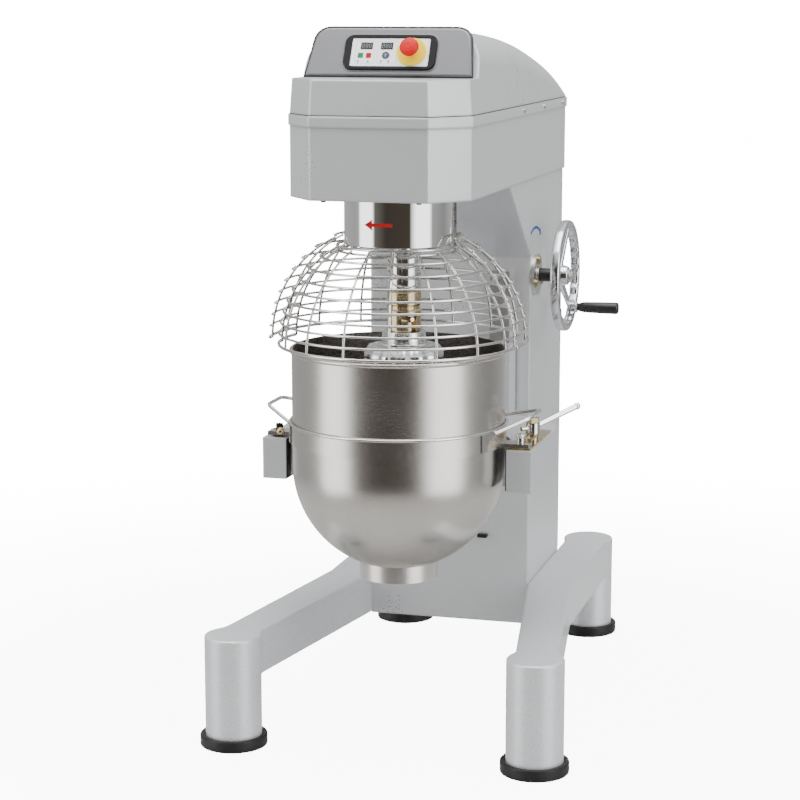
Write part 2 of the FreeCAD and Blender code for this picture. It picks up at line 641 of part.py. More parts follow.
# ---- bowl --------------------------------------------------------------------------------------------------
BAND_RADIUS = BOWL_RADIUS + BAND_WALL
HANDLE_WIRE = 4.0
HANDLE_ANGLES = (-14.0, 38.0)    # where each loop's ends meet the band
HANDLE_REACH = 285.0
HANDLE_GRIP = (-8.0, 87.0)       # the grip's two ends, from the bowl's axis
HANDLE_RISE = 28.0


def bowl():
    equator = BOWL_BOTTOM + BOWL_RADIUS
    centre = V(0, BOWL_Y, equator)
    inner = BOWL_RADIUS - BOWL_WALL
    outside = Part.makeSphere(BOWL_RADIUS, centre).common(
        block(-300, 300, BOWL_Y - 300, BOWL_Y + 300, BOWL_BOTTOM - 10, equator))
    inside = Part.makeSphere(inner, centre).common(
        block(-300, 300, BOWL_Y - 300, BOWL_Y + 300, BOWL_BOTTOM - 10, equator))
    bead = Part.makeTorus(BOWL_RADIUS, RIM_BEAD, V(0, BOWL_Y, BOWL_RIM))
    body = fused([outside, post(BOWL_RADIUS, equator, BOWL_RIM, 0, BOWL_Y), bead])
    return body.cut([inside, post(inner, equator, BOWL_RIM + RIM_BEAD + 1, 0, BOWL_Y)])


def bowl_band():
    """Steel band round the bowl, with the two lugs that drop over the carriage's pins."""
    band = pipe(BAND_RADIUS, BOWL_RADIUS, BAND_BOTTOM, BAND_BOTTOM + BAND_HEIGHT, 0, BOWL_Y)
    lug = block(BOWL_RADIUS + 1, PIN_X + 20, BOWL_Y - 20, BOWL_Y + 20, LUG_BOTTOM,
                LUG_BOTTOM + LUG_THICKNESS)
    lug = lug.cut([post(PIN_RADIUS + GAP, LUG_BOTTOM - 1, LUG_BOTTOM + LUG_THICKNESS + 1, PIN_X, BOWL_Y),
                   post(BOWL_RADIUS, LUG_BOTTOM - 1, LUG_BOTTOM + 20, 0, BOWL_Y)])
    return fused([band, lug, mirrored(lug)])


def bent_wire(points, corner, radius):
    """Round wire along straight runs, bent round a corner at each inner point."""
    parts = []
    start = points[0]
    for before, point, after in zip(points, points[1:], points[2:]):
        inward = (before - point).normalize()
        outward = (after - point).normalize()
        half = inward.getAngle(outward) / 2
        bend_start = point + inward * corner
        bend_end = point + outward * corner
        depth = corner / math.cos(half) - corner * math.tan(half)
        middle = point + (inward + outward).normalize() * depth
        parts += [rod(radius, start, bend_start),
                  bent_rod(Part.Arc(bend_start, middle, bend_end).toShape(), radius)]
        start = bend_end
    return fused(parts + [rod(radius, start, points[-1])])


def bowl_handles():
    """A bent wire loop on each side, its two ends welded to the top of the band."""
    height = BAND_BOTTOM + BAND_HEIGHT - 6
    reach = BAND_RADIUS + 1
    ends = [V(reach * math.cos(math.radians(a)), BOWL_Y + reach * math.sin(math.radians(a)), height)
            for a in HANDLE_ANGLES]
    corners = [V(HANDLE_REACH, BOWL_Y + y, height + HANDLE_RISE) for y in HANDLE_GRIP]
    loop = bent_wire([ends[0]] + corners + [ends[1]], 14.0, HANDLE_WIRE)
    return group(both_sides(loop.cut(post(BAND_RADIUS, height - 20, height + 40, 0, BOWL_Y))))


def bowl_foot_ring():
    ring = pipe(FOOT_RING_RADIUS, FOOT_RING_RADIUS - 3, FOOT_RING_BOTTOM, BOWL_BOTTOM + 30, 0, BOWL_Y)
    return ring.cut(Part.makeSphere(BOWL_RADIUS, V(0, BOWL_Y, BOWL_BOTTOM + BOWL_RADIUS)))


# ---- planetary drive ---------------------------------------------------------------------------------------
AGITATOR_X = PLANET_OFFSET * math.cos(math.radians(OFFSET_ANGLE))
AGITATOR_Y = BOWL_Y + PLANET_OFFSET * math.sin(math.radians(OFFSET_ANGLE))
DRUM_WALL = 4.0
BEARING_RADIUS = 34.0
JOURNAL = 20.0
MAIN_JOURNAL = 25.0
MAIN_BEARING = 45.0
HOLE_GAP = 3.0
HEAD_FLOOR = HEAD_BOTTOM + 8
RING_OUTER = DRUM_RADIUS + 10
PLANET_BOTTOM = HEAD_FLOOR + 4
PLANET_TOP = PLANET_BOTTOM + 22
DECK_BOTTOM = PLANET_TOP + 6
TOWER_TOP = HEAD_SEAM + 3
BEARING_LEVELS = (DECK_BOTTOM + 19, TOWER_TOP - 20)
BEARING_HEIGHT = 18.0
PULLEY_BOTTOM = TOWER_TOP + 15
PULLEY_TOP = PULLEY_BOTTOM + 36
SLEEVE_TOP = 975.0
SLEEVE_BOTTOM = 893.0
SLEEVE_RADIUS = 35.0
SPIGOT_RADIUS = 17.0


def gear_blank(teeth, pitch, root, tip, play, z0, z1):
    """A toothed disc, with a tooth on +X."""
    radii = [root + (tip - root) * share for share in (0.0, 0.3, 0.55, 0.8, 1.0)]
    points = []
    for i in range(teeth):
        middle = 2 * math.pi * i / teeth
        half = [tooth_half_angle(teeth, pitch, radius, play) for radius in radii]
        points += [(radius, middle - angle) for radius, angle in zip(radii, half)]
        points += [(radius, middle + angle) for radius, angle in zip(reversed(radii), reversed(half))]
    return prism([V(r * math.cos(a), r * math.sin(a), z0) for r, a in points], V(0, 0, z1 - z0))


def ring_gear():
    pitch = GEAR_MODULE * RING_TEETH / 2
    spaces = gear_blank(RING_TEETH, pitch, pitch - 0.8 * GEAR_MODULE, pitch + 1.25 * GEAR_MODULE, -0.3,
                        HEAD_FLOOR - 1, DECK_BOTTOM)
    spaces = turned_copy(spaces, OFFSET_ANGLE, V(0, 0, 0))
    spaces.translate(V(0, BOWL_Y, 0))
    return post(RING_OUTER, HEAD_FLOOR, PLANET_TOP + 2, 0, BOWL_Y).cut(spaces)


def planet_pinion():
    pitch = GEAR_MODULE * PLANET_TEETH / 2
    gear = gear_blank(PLANET_TEETH, pitch, pitch - 1.25 * GEAR_MODULE, pitch + GEAR_MODULE, 0.3,
                      PLANET_BOTTOM, PLANET_TOP)
    gear = turned_copy(gear, OFFSET_ANGLE, V(0, 0, 0)).cut(post(16.0, PLANET_BOTTOM - 1, PLANET_TOP + 1))
    gear.translate(V(AGITATOR_X, AGITATOR_Y, 0))
    return gear


def planet_drum():
    """Polished drum that turns under the head and carries the agitator shaft off centre."""
    lower, upper = DRUM_BOTTOM + 16, DRUM_TOP - 16
    can = post(DRUM_RADIUS, DRUM_BOTTOM, DRUM_TOP, 0, BOWL_Y)
    return can.cut([post(DRUM_RADIUS - DRUM_WALL, lower, upper, 0, BOWL_Y),
                    post(BEARING_RADIUS, DRUM_BOTTOM - 1, DRUM_TOP + 1, AGITATOR_X, AGITATOR_Y),
                    post(MAIN_JOURNAL, upper - 1, DRUM_TOP + 1, 0, BOWL_Y)])


def shaft_bearings():
    return group([pipe(BEARING_RADIUS, JOURNAL + RUNNING, z, z + 16, AGITATOR_X, AGITATOR_Y)
                  for z in (DRUM_BOTTOM, DRUM_TOP - 16)])


def agitator_shaft():
    """Shaft with a grooved collar below the drum and a thinner spigot in the bayonet sleeve."""
    collar_top = DRUM_BOTTOM - 3
    step = (collar_top - SLEEVE_TOP) / 3
    collar = []
    for i in range(3):
        base = SLEEVE_TOP + step * i
        collar += [(SLEEVE_RADIUS - 0.5, base + 2), (SLEEVE_RADIUS - 0.5, base + step - 4),
                   (SLEEVE_RADIUS - 4, base + step - 2), (SLEEVE_RADIUS - 4, base + step)]
    profile = [(0, SLEEVE_BOTTOM + 6), (SPIGOT_RADIUS, SLEEVE_BOTTOM + 6), (SPIGOT_RADIUS, SLEEVE_TOP),
               (SLEEVE_RADIUS - 4, SLEEVE_TOP)] + collar + \
              [(JOURNAL, collar_top), (JOURNAL, PLANET_BOTTOM), (16.0, PLANET_BOTTOM),
               (16.0, PLANET_TOP + 2),
               (0, PLANET_TOP + 2)]
    return turned(profile, AGITATOR_X, AGITATOR_Y)


def bayonet_sleeve():
    """Bronze sleeve with an L-shaped slot for the tool's cross pin."""
    body = turned([(SPIGOT_RADIUS, SLEEVE_BOTTOM), (SLEEVE_RADIUS - 1, SLEEVE_BOTTOM),
                   (SLEEVE_RADIUS, SLEEVE_BOTTOM + 3),
                   (SLEEVE_RADIUS, SLEEVE_TOP - 40), (SLEEVE_RADIUS - 3, SLEEVE_TOP - 37),
                   (SLEEVE_RADIUS - 3, SLEEVE_TOP - 30),
                   (SLEEVE_RADIUS, SLEEVE_TOP - 27), (SLEEVE_RADIUS, SLEEVE_TOP - 3),
                   (SLEEVE_RADIUS - 2, SLEEVE_TOP),
                   (SPIGOT_RADIUS, SLEEVE_TOP)], AGITATOR_X, AGITATOR_Y)
    drop = block(SPIGOT_RADIUS + 1, SLEEVE_RADIUS + 5, -6, 6, SLEEVE_BOTTOM - 1, SLEEVE_BOTTOM + 32)
    hook = block(SPIGOT_RADIUS + 1, SLEEVE_RADIUS + 5, -24, 6, SLEEVE_BOTTOM + 20, SLEEVE_BOTTOM + 32)
    slot = turned_copy(drop.fuse(hook), -40, V(0, 0, 0))
    slot.translate(V(AGITATOR_X, AGITATOR_Y, 0))
    return body.cut(slot)


def main_shaft():
    return turned([(0, DRUM_TOP - 16), (MAIN_JOURNAL, DRUM_TOP - 16), (MAIN_JOURNAL, TOWER_TOP + 8),
                   (JOURNAL, TOWER_TOP + 8),
                   (JOURNAL, PULLEY_TOP + 6), (0, PULLEY_TOP + 6)], 0, BOWL_Y)


def main_bearings():
    return group([pipe(MAIN_BEARING, MAIN_JOURNAL + RUNNING, z, z + BEARING_HEIGHT, 0,
                       BOWL_Y) for z in BEARING_LEVELS])


def grooved_pulley(radius, bore, y):
    """Pulley with V grooves and a web cut away on top."""
    grooves = 6
    pitch = (PULLEY_TOP - PULLEY_BOTTOM) / grooves
    rim = []
    for i in range(grooves):
        base = PULLEY_BOTTOM + pitch * i
        rim += [(radius, base + 0.6), (radius - 3, base + pitch / 2), (radius, base + pitch - 0.6)]
    recess = max(radius - 18, bore + 14)
    profile = [(bore, PULLEY_BOTTOM), (radius, PULLEY_BOTTOM)] + rim + \
              [(radius, PULLEY_TOP), (recess, PULLEY_TOP), (recess, PULLEY_BOTTOM + 12),
               (bore + 12, PULLEY_BOTTOM + 12),
               (bore + 12, PULLEY_TOP), (bore, PULLEY_TOP)]
    return turned(profile, 0, y)


def driven_pulley():
    return grooved_pulley(DRIVEN_PULLEY_RADIUS, JOURNAL, BOWL_Y)


def motor_pulley():
    """Small pulley with the motor's output shaft."""
    shaft = post(12.0, PULLEY_BOTTOM - 40, PULLEY_TOP + 4, 0, MOTOR_Y)
    return fused([grooved_pulley(MOTOR_PULLEY_RADIUS, 12.0, MOTOR_Y), shaft])


def belt_loop(spread, z0, z1):
    """Two discs and the straight runs that touch them both."""
    big, small = DRIVEN_PULLEY_RADIUS + spread, MOTOR_PULLEY_RADIUS + spread
    slant = math.asin((big - small) / (MOTOR_Y - BOWL_Y))
    corners = [(big * math.cos(slant), BOWL_Y + big * math.sin(slant)),
               (small * math.cos(slant), MOTOR_Y + small * math.sin(slant))]
    outline = corners + [(-x, y) for x, y in reversed(corners)]
    return post(big, z0, z1, 0, BOWL_Y).fuse([post(small, z0, z1, 0, MOTOR_Y), plan_prism(outline, z0, z1)])


def drive_belt():
    z0, z1 = PULLEY_BOTTOM + 2, PULLEY_TOP - 2
    return belt_loop(6.0, z0, z1).removeSplitter().cut(belt_loop(GAP, z0 - 1, z1 + 1).removeSplitter())


def motor():
    """Geared motor hung upright in the top of the column, under its plate in the head."""
    plate = MOTOR_PLATE_Z
    body = post(MOTOR_RADIUS, plate - 290, plate - 60, 0, MOTOR_Y)
    gearbox = post(MOTOR_RADIUS - 14, plate - 60, plate, 0, MOTOR_Y)
    fan_cowl = post(MOTOR_RADIUS - 5, plate - 340, plate - 290, 0, MOTOR_Y)
    fin = block(MOTOR_RADIUS - 2, MOTOR_RADIUS + 6, MOTOR_Y - 1.5, MOTOR_Y + 1.5, plate - 270, plate - 80)
    fins = ring_of(fin, range(0, 360, 15), V(0, MOTOR_Y, 0))
    bore = post(12.0 + RUNNING, PULLEY_BOTTOM - 41, plate + 1, 0, MOTOR_Y)
    return fused([body, gearbox, fan_cowl] + list(fins)).cut(bore)


# ---- head: housing and cover -------------------------------------------------------------------------------
MOTOR_PLATE_Z = HEAD_SEAM - 24
SHOULDER_Y = -505.5
BULGE_Y = -156.5
FRONT_HALF_WIDTH = HEAD_HALF_WIDTH - 1


def head_plan(grow=0.0):
    """Outline of the head seen from above, listed anticlockwise."""
    right = [(HEAD_NOSE_HALF, HEAD_FRONT), (FRONT_HALF_WIDTH, SHOULDER_Y), (HEAD_HALF_WIDTH, BULGE_Y),
             (HEAD_HALF_WIDTH, HEAD_REAR)]
    outline = right + [(-x, y) for x, y in reversed(right)]
    return inset(outline, -grow)


def head_housing():
    body = plan_prism(head_plan(), HEAD_BOTTOM, HEAD_SEAM)
    flange = plan_prism(head_plan(FLANGE_PROUD), HEAD_SEAM - FLANGE_HEIGHT, HEAD_SEAM)
    body = fused([body, flange])
    hollow = plan_prism(head_plan(-HEAD_WALL), HEAD_FLOOR, HEAD_SEAM + 1)
    deck_edge = BULGE_Y
    deck = plan_prism(head_plan(-HEAD_WALL), DECK_BOTTOM, DECK_BOTTOM + 8).common(
        block(-300, 300, HEAD_FRONT, deck_edge, DECK_BOTTOM, DECK_BOTTOM + 8))
    tower = post(MAIN_BEARING + 14, DECK_BOTTOM, TOWER_TOP, 0, BOWL_Y)
    half = HEAD_HALF_WIDTH - HEAD_WALL
    bridge = block(-half, half, MOTOR_Y - 100, MOTOR_Y + 100, MOTOR_PLATE_Z, MOTOR_PLATE_Z + 10)
    column_opening = block(COLUMN_WALL - COLUMN_HALF_WIDTH, COLUMN_HALF_WIDTH - COLUMN_WALL,
                           COLUMN_FRONT + COLUMN_WALL,
                           COLUMN_REAR - COLUMN_WALL, HEAD_BOTTOM - 1, HEAD_FLOOR + 1)
    shell = body.cut([hollow, post(DRUM_RADIUS + HOLE_GAP, HEAD_BOTTOM - 1, HEAD_FLOOR + 1, 0, BOWL_Y),
                      column_opening])
    shell = fused([shell, deck, tower, bridge])
    return shell.cut([post(MAIN_BEARING, DECK_BOTTOM - 1, TOWER_TOP + 1, 0, BOWL_Y),
                      post(16.0, MOTOR_PLATE_Z - 1, MOTOR_PLATE_Z + 11, 0, MOTOR_Y)])


ROOF = [(-486.0, 1499.0, 62.0), (-236.0, 1489.0, 62.0), (-6.0, 1471.0, 62.0), (194.0, 1439.0, 60.0),
        (314.0, 1405.0, 46.0), (389.0, 1368.0, 26.0), (421.5, 1341.0, 6.0)]   # (y, height, edge radius) along the cover's back


def side_width(y):
    """Half width of the head at its seam."""
    share = min(max((y - SHOULDER_Y) / (BULGE_Y - SHOULDER_Y), 0.0), 1.0)
    return FRONT_HALF_WIDTH + (HEAD_HALF_WIDTH - FRONT_HALF_WIDTH) * share


def roof_section(y, top, radius, thinner):
    """Upright outline across the cover at one place: leaning sides and round shoulders."""
    base = side_width(y) - thinner
    crest = base - COVER_LEAN * (top - HEAD_SEAM)
    low, high = HEAD_SEAM - (1 if thinner else 0), top - thinner
    radius = max(radius - thinner, 2.0)
    shoulder = V(crest + COVER_LEAN * radius, y, high - radius)
    middle = V(crest - radius * (1 - math.sqrt(0.5)), y, high - radius * (1 - math.sqrt(0.5)))
    inner = V(crest - radius, y, high)
    flip = [V(-p.x, p.y, p.z) for p in (shoulder, middle, inner)]
    return Part.Wire([Part.makeLine(V(-base, y, low), V(base, y, low)),
                      Part.makeLine(V(base, y, low), shoulder),
                      Part.Arc(shoulder, middle, inner).toShape(), Part.makeLine(inner, flip[2]),
                      Part.Arc(flip[2], flip[1], flip[0]).toShape(),
                      Part.makeLine(flip[0], V(-base, y, low))])


def roof(thinner):
    sections = [roof_section(min(y, HEAD_REAR - thinner), top, radius, thinner) for y, top, radius in ROOF]
    return Part.makeLoft(sections, True, False)


def cover_body(thinner):
    """The cover as a solid: a low leaning nose up to the ledge, and the roof behind the control pod."""
    low = HEAD_SEAM - (1 if thinner else 0)
    lean = COVER_LEAN * (HEAD_LEDGE - HEAD_SEAM)
    lower = [V(x, y, low) for x, y in head_plan(-thinner)]
    upper = [V(x, y, HEAD_LEDGE - thinner) for x, y in head_plan(-thinner - lean)]
    nose = Part.makeLoft([Part.makePolygon(lower + lower[:1]), Part.makePolygon(upper + upper[:1])], True,
                         True)
    nose = nose.common(block(-300, 300, HEAD_FRONT - 1, ROOF[1][0], low, HEAD_LEDGE))
    tilt = math.radians(POD_TILT)
    back = POD_DEPTH / math.cos(tilt) + thinner
    foot = POD_FOOT_Y + back - (POD_FOOT_Z - HEAD_SEAM) * math.tan(tilt)
    in_front = side_prism([(foot - 300, HEAD_SEAM - 2), (foot - 2 * math.tan(tilt), HEAD_SEAM - 2),
                           (foot + 200 * math.tan(tilt), HEAD_SEAM + 200), (foot - 300, HEAD_SEAM + 200)],
                           -300, 300)
    return fused([nose, roof(thinner).cut(in_front)])


def head_cover():
    return cover_body(0.0).cut(cover_body(COVER_WALL))


# ---- control pod and panel ---------------------------------------------------------------------------------
FACE_NORMAL = V(0, -math.cos(math.radians(POD_TILT)), math.sin(math.radians(POD_TILT)))
FACE_UP = V(0, math.sin(math.radians(POD_TILT)), math.cos(math.radians(POD_TILT)))
FACE_FOOT = V(0, POD_FOOT_Y, POD_FOOT_Z)
PANEL_HALF = 95.0
PANEL_LOW, PANEL_HIGH = 11.0, 87.0
PANEL_THICKNESS = 5.0
FOIL_HALF = 81.0
FOIL_LOW, FOIL_HIGH = 18.0, 80.0
FOIL_THICKNESS = 3.0
ESTOP = (45.0, 49.5)
ESTOP_STEM = 8.0
DISPLAYS = [(-50.0, 63.0), (-8.0, 63.0)]
START_KEY = (-61.0, 42.0)
STOP_KEY = (-44.0, 42.0)
MODE_KEY = (-8.5, 42.3)
KEY_SIZE = 10.0
MODE_RADIUS = 7.5


def on_face(x, s, h=0.0):
    """Point on the pod's inclined face: x across, s up the slope, h out from it."""
    return FACE_FOOT + V(x, 0, 0) + FACE_UP * s + FACE_NORMAL * h


def face_plate(x0, x1, s0, s1, h0, h1, corner=0.0):
    points = [on_face(x0, s0, h0), on_face(x1, s0, h0), on_face(x1, s1, h0), on_face(x0, s1, h0)]
    plate = prism(points, FACE_NORMAL * (h1 - h0))
    if corner:
        upright = [e for e in plate.Edges if abs(e.tangentAt(0).dot(FACE_NORMAL)) > 0.9]
        plate = plate.makeFillet(corner, upright)
    return plate


def face_disc(radius, x, s, h0, h1):
    return rod(radius, on_face(x, s, h0), on_face(x, s, h1))


def control_pod():
    corners = [(POD_HALF_WIDTH, 0), (POD_TOP_HALF_WIDTH, POD_FACE_HEIGHT),
               (-POD_TOP_HALF_WIDTH, POD_FACE_HEIGHT),
               (-POD_HALF_WIDTH, 0)]
    slab = prism([on_face(x, s, -POD_DEPTH) for x, s in corners], FACE_NORMAL * POD_DEPTH)
    upper = [e for e in slab.Edges if abs(e.tangentAt(0).dot(FACE_NORMAL)) > 0.9
             and (e.CenterOfMass - FACE_FOOT).dot(FACE_UP) > POD_FACE_HEIGHT / 2]
    slab = slab.makeFillet(POD_CORNER, upper)
    return slab.cut(block(-300, 300, POD_FOOT_Y - 100, POD_FOOT_Y + 200, HEAD_LEDGE - 50, HEAD_LEDGE))


def control_panel():
    plate = face_plate(-PANEL_HALF, PANEL_HALF, PANEL_LOW, PANEL_HIGH, 0, PANEL_THICKNESS, 12.0)
    return plate.cut(face_plate(-FOIL_HALF, FOIL_HALF, FOIL_LOW, FOIL_HIGH, -1, PANEL_THICKNESS + 1))


def key_holes():
    half = KEY_SIZE / 2 + GAP
    holes = [face_plate(x - half, x + half, s - half, s + half, -1, FOIL_THICKNESS + 1) for x,
             s in (START_KEY, STOP_KEY)]
    return holes + [face_disc(MODE_RADIUS + GAP, *MODE_KEY, -1, FOIL_THICKNESS + 1),
                    face_disc(ESTOP_STEM + GAP, *ESTOP, -1, FOIL_THICKNESS + 1)]


def panel_membrane():
    return face_plate(-FOIL_HALF, FOIL_HALF, FOIL_LOW, FOIL_HIGH, 0, FOIL_THICKNESS).cut(key_holes())


def panel_displays():
    return group([face_plate(x - 12.5, x + 12.5, s - 7.5, s + 7.5, FOIL_THICKNESS,
                             FOIL_THICKNESS + 0.8) for x, s in DISPLAYS])


def square_key(x, s):
    half = KEY_SIZE / 2
    return face_plate(x - half, x + half, s - half, s + half, 1.4, FOIL_THICKNESS + 1.4, 1.5)


def mode_key():
    return face_disc(MODE_RADIUS, *MODE_KEY, 1.4, FOIL_THICKNESS + 1.4)


def estop_ring():
    return face_disc(30.0, *ESTOP, FOIL_THICKNESS, FOIL_THICKNESS + 4).cut(
        face_disc(ESTOP_STEM + GAP, *ESTOP, FOIL_THICKNESS - 1, FOIL_THICKNESS + 5))


def estop_button():
    """Mushroom head on a stem that slides in the panel."""
    profile = [(0, 5.5), (ESTOP_STEM, 5.5), (ESTOP_STEM, 20), (16, 21), (19.5, 24), (19.5, 29), (17, 33),
               (10, 35.5), (0, 36)]
    x, s = ESTOP
    points = [on_face(x + radius, s, height) for radius, height in profile]
    return Part.Face(Part.makePolygon(points + points[:1])).revolve(on_face(x, s), FACE_NORMAL, 360)


# ---- whisk -------------------------------------------------------------------------------------------------
WHISK_WIRE = 2.5
WHISK_LOOPS = 6
WHISK_TOP = (78.0, 838.0)      # radius and height where the wires leave the hub
WHISK_WIDEST = (126.0, 650.0)
WHISK_BOTTOM = 424.0
WHISK_NOSE = 70.0              # radius of the loops' lower end


def whisk_hub():
    r, z = WHISK_TOP
    return turned([(0, z), (r + 8, z), (r + 8, z + 9), (r - 2, z + 20), (46, z + 26), (44, SLEEVE_BOTTOM),
                   (0, SLEEVE_BOTTOM)],
                  AGITATOR_X, AGITATOR_Y)


def whisk_wires():
    """Loops of steel wire in upright planes, each crossing the axis just above the one before."""
    top_r, top_z = WHISK_TOP
    wide_r, wide_z = WHISK_WIDEST
    upper = ((wide_r - top_r) ** 2 + (top_z - wide_z) ** 2) / (2 * (wide_r - top_r))
    rods = []
    for i in range(WHISK_LOOPS):
        nose_z = WHISK_BOTTOM + (2 * WHISK_WIRE + GAP) * i + WHISK_NOSE
        drop = wide_z - nose_z
        lower = (wide_r ** 2 + drop ** 2 - WHISK_NOSE ** 2) / (2 * (wide_r - WHISK_NOSE))
        meet = V(lower - wide_r, 0, nose_z - wide_z).normalize()
        joint = V(0, 0, nose_z) + meet * WHISK_NOSE

        def on(radius, centre_r, angle):
            return V(centre_r + radius * math.cos(angle), 0, wide_z + radius * math.sin(angle))
        top_angle = math.asin((top_z - wide_z) / upper)
        low_angle = math.atan2(meet.z, meet.x)
        side = [Part.Arc(V(top_r, 0, top_z), on(upper, wide_r - upper, top_angle / 2), V(wide_r, 0, wide_z)),
                Part.Arc(V(wide_r, 0, wide_z), on(lower, wide_r - lower, low_angle / 2), joint)]
        half = [bent_rod(arc.toShape(), WHISK_WIRE) for arc in side]
        tip = Part.Arc(joint, V(0, 0, nose_z - WHISK_NOSE), V(-joint.x, 0, joint.z))
        nose = bent_rod(tip.toShape(), WHISK_WIRE)
        loop = half + [turned_copy(wire, 180, V(0, 0, 0)) for wire in half] + [nose]
        rods += [turned_copy(wire, 180.0 * i / WHISK_LOOPS, V(0, 0, 0)) for wire in loop]
    for wire in rods:
        wire.translate(V(AGITATOR_X, AGITATOR_Y, 0))
    return group(rods)


# ---- wire guard --------------------------------------------------------------------------------------------
HOOP_SECTORS = 16
WIRE_STEP = 2 * GUARD_WIRE - 0.05    # between the centres of two crossed wires, welded together
BRACKET_ANGLES = [22.5, 90.0, 157.5]
BRACKET_SPREAD = 9.0       # degrees


def guard_bow(size):
    """Radius of the guard's bowed side, and the radius and height of the bow's centre. It ends upright."""
    out, down = size["low_r"] - size["top_r"], size["top_z"] - size["low_z"]
    bow = (out ** 2 + down ** 2) / (2 * out)
    return bow, size["low_r"] - bow, size["low_z"]


def ring_piece(radius, z, wire, start, sweep):
    """Part of a horizontal wire ring round the bowl axis."""
    piece = Part.makeTorus(radius, wire, V(0, BOWL_Y, z), V(0, 0, 1), 0, 360, sweep)
    return turned_copy(piece, start, V(0, BOWL_Y, 0))


def guard_wires(size):
    bow, centre_r, centre_z = guard_bow(size)
    start = size["middle"] - GUARD_SPAN / 2
    sweep = GUARD_SPAN / GUARD_SECTORS
    wires = []
    for level in range(size["rings"]):
        z = size["top_z"] + (size["low_z"] - size["top_z"]) * level / (size["rings"] - 1)
        radius = centre_r + math.sqrt(bow ** 2 - (z - centre_z) ** 2)
        wires += [ring_piece(radius, z, GUARD_WIRE, start + sweep * i, sweep) for i in range(GUARD_SECTORS)]
    inner = bow - WIRE_STEP
    top_angle = math.asin((size["top_z"] - centre_z) / bow)
    cuts = 3
    for i in range(cuts):
        a0, a1 = top_angle * i / cuts, top_angle * (i + 1) / cuts
        points = [V(centre_r + inner * math.cos(a), BOWL_Y, centre_z + inner * math.sin(a))
                  for a in (a0, (a0 + a1) / 2, a1)]
        upright = bent_rod(Part.Arc(*points).toShape(), GUARD_WIRE)
        wires += ring_of(upright, [start + sweep * k for k in range(GUARD_SECTORS + 1)], V(0, BOWL_Y, 0))
    return wires


def hoop_place():
    """Radius and height of the front guard's full hoop, on the inner side of its upright wires."""
    bow, centre_r, centre_z = guard_bow(FRONT_GUARD)
    angle = math.asin((FRONT_GUARD["top_z"] - centre_z) / bow) - 0.01
    inner = bow - 2 * WIRE_STEP
    return centre_r + inner * math.cos(angle), centre_z + inner * math.sin(angle)


def front_guard():
    """Front half of the guard, with a full hoop that turns in the brackets."""
    radius, z = hoop_place()
    step = 360.0 / HOOP_SECTORS
    hoop = [ring_piece(radius, z, GUARD_WIRE, step * i, step) for i in range(HOOP_SECTORS)]
    return group(guard_wires(FRONT_GUARD) + hoop)


def rear_guard():
    return group(guard_wires(REAR_GUARD))


def guard_brackets():
    """Hangers under the head: a foot below the front guard's hoop and a lug welded to the rear guard."""
    hoop, level = hoop_place()
    shelf = level - GUARD_WIRE - 2 * GAP
    lug_end = REAR_GUARD["top_r"] - GUARD_WIRE
    lug = REAR_GUARD["top_z"]
    inner = DRUM_RADIUS + HOLE_GAP
    outer = inner + 5
    profile = [(inner, shelf - 4), (hoop + 1, shelf - 4), (hoop + 1, shelf), (outer, shelf),
               (outer, lug - 5),
               (lug_end, lug - 5), (lug_end, lug + 5), (outer, lug + 5), (outer, HEAD_BOTTOM),
               (inner, HEAD_BOTTOM)]
    points = [V(r, BOWL_Y, z) for r, z in profile]
    axis = V(0, BOWL_Y, 0)
    hanger = Part.Face(Part.makePolygon(points + points[:1])).revolve(axis, V(0, 0, 1), BRACKET_SPREAD)
    return group(ring_of(hanger, [angle - BRACKET_SPREAD / 2 for angle in BRACKET_ANGLES], axis))


# ---- write the sub-parts -----------------------------------------------------------------------------------
NODES = {
    "side_beams": side_beams, "leg_posts": leg_posts, "rubber_feet": rubber_feet,
    "levelling_screws": levelling_screws, "base_cross_member": base_cross_member,
    "column_shell": column_shell, "column_rear_cover": column_rear_cover, "cover_screws": cover_screws,
    "slideways": slideways, "screw_bearings": screw_bearings, "handwheel_flange": handwheel_flange,
    "flange_bolts": flange_bolts, "cable_gland": cable_gland, "head_housing": head_housing,
    "head_cover": head_cover, "control_pod": control_pod, "control_panel": control_panel,
    "panel_membrane": panel_membrane, "panel_displays": panel_displays, "estop_ring": estop_ring,
    "estop_button": estop_button, "start_key": lambda: square_key(*START_KEY),
    "stop_key": lambda: square_key(*STOP_KEY), "mode_key": mode_key, "ring_gear": ring_gear,
    "main_bearings": main_bearings, "motor": motor, "drive_belt": drive_belt, "rear_guard": rear_guard,
    "guard_brackets": guard_brackets, "front_guard": front_guard, "lift_screw": lift_screw,
    "bevel_wheel": bevel_wheel, "handwheel_shaft": handwheel_shaft, "bevel_pinion": bevel_pinion,
    "handwheel": handwheel, "handwheel_collar": handwheel_collar, "handwheel_bolts": handwheel_bolts,
    "handwheel_grip": handwheel_grip, "bowl_yoke": bowl_yoke, "gib_plates": gib_plates,
    "lift_nut": lift_nut, "bowl_pins": bowl_pins, "clamp_bracket": clamp_bracket,
    "clamp_bolt": clamp_bolt, "clamp_lever": clamp_lever, "bowl": bowl, "bowl_band": bowl_band,
    "bowl_handles": bowl_handles, "bowl_foot_ring": bowl_foot_ring, "planet_drum": planet_drum,
    "main_shaft": main_shaft, "driven_pulley": driven_pulley, "motor_pulley": motor_pulley,
    "agitator_shaft": agitator_shaft, "planet_pinion": planet_pinion, "shaft_bearings": shaft_bearings,
    "bayonet_sleeve": bayonet_sleeve, "whisk_hub": whisk_hub, "whisk_wires": whisk_wires,
}

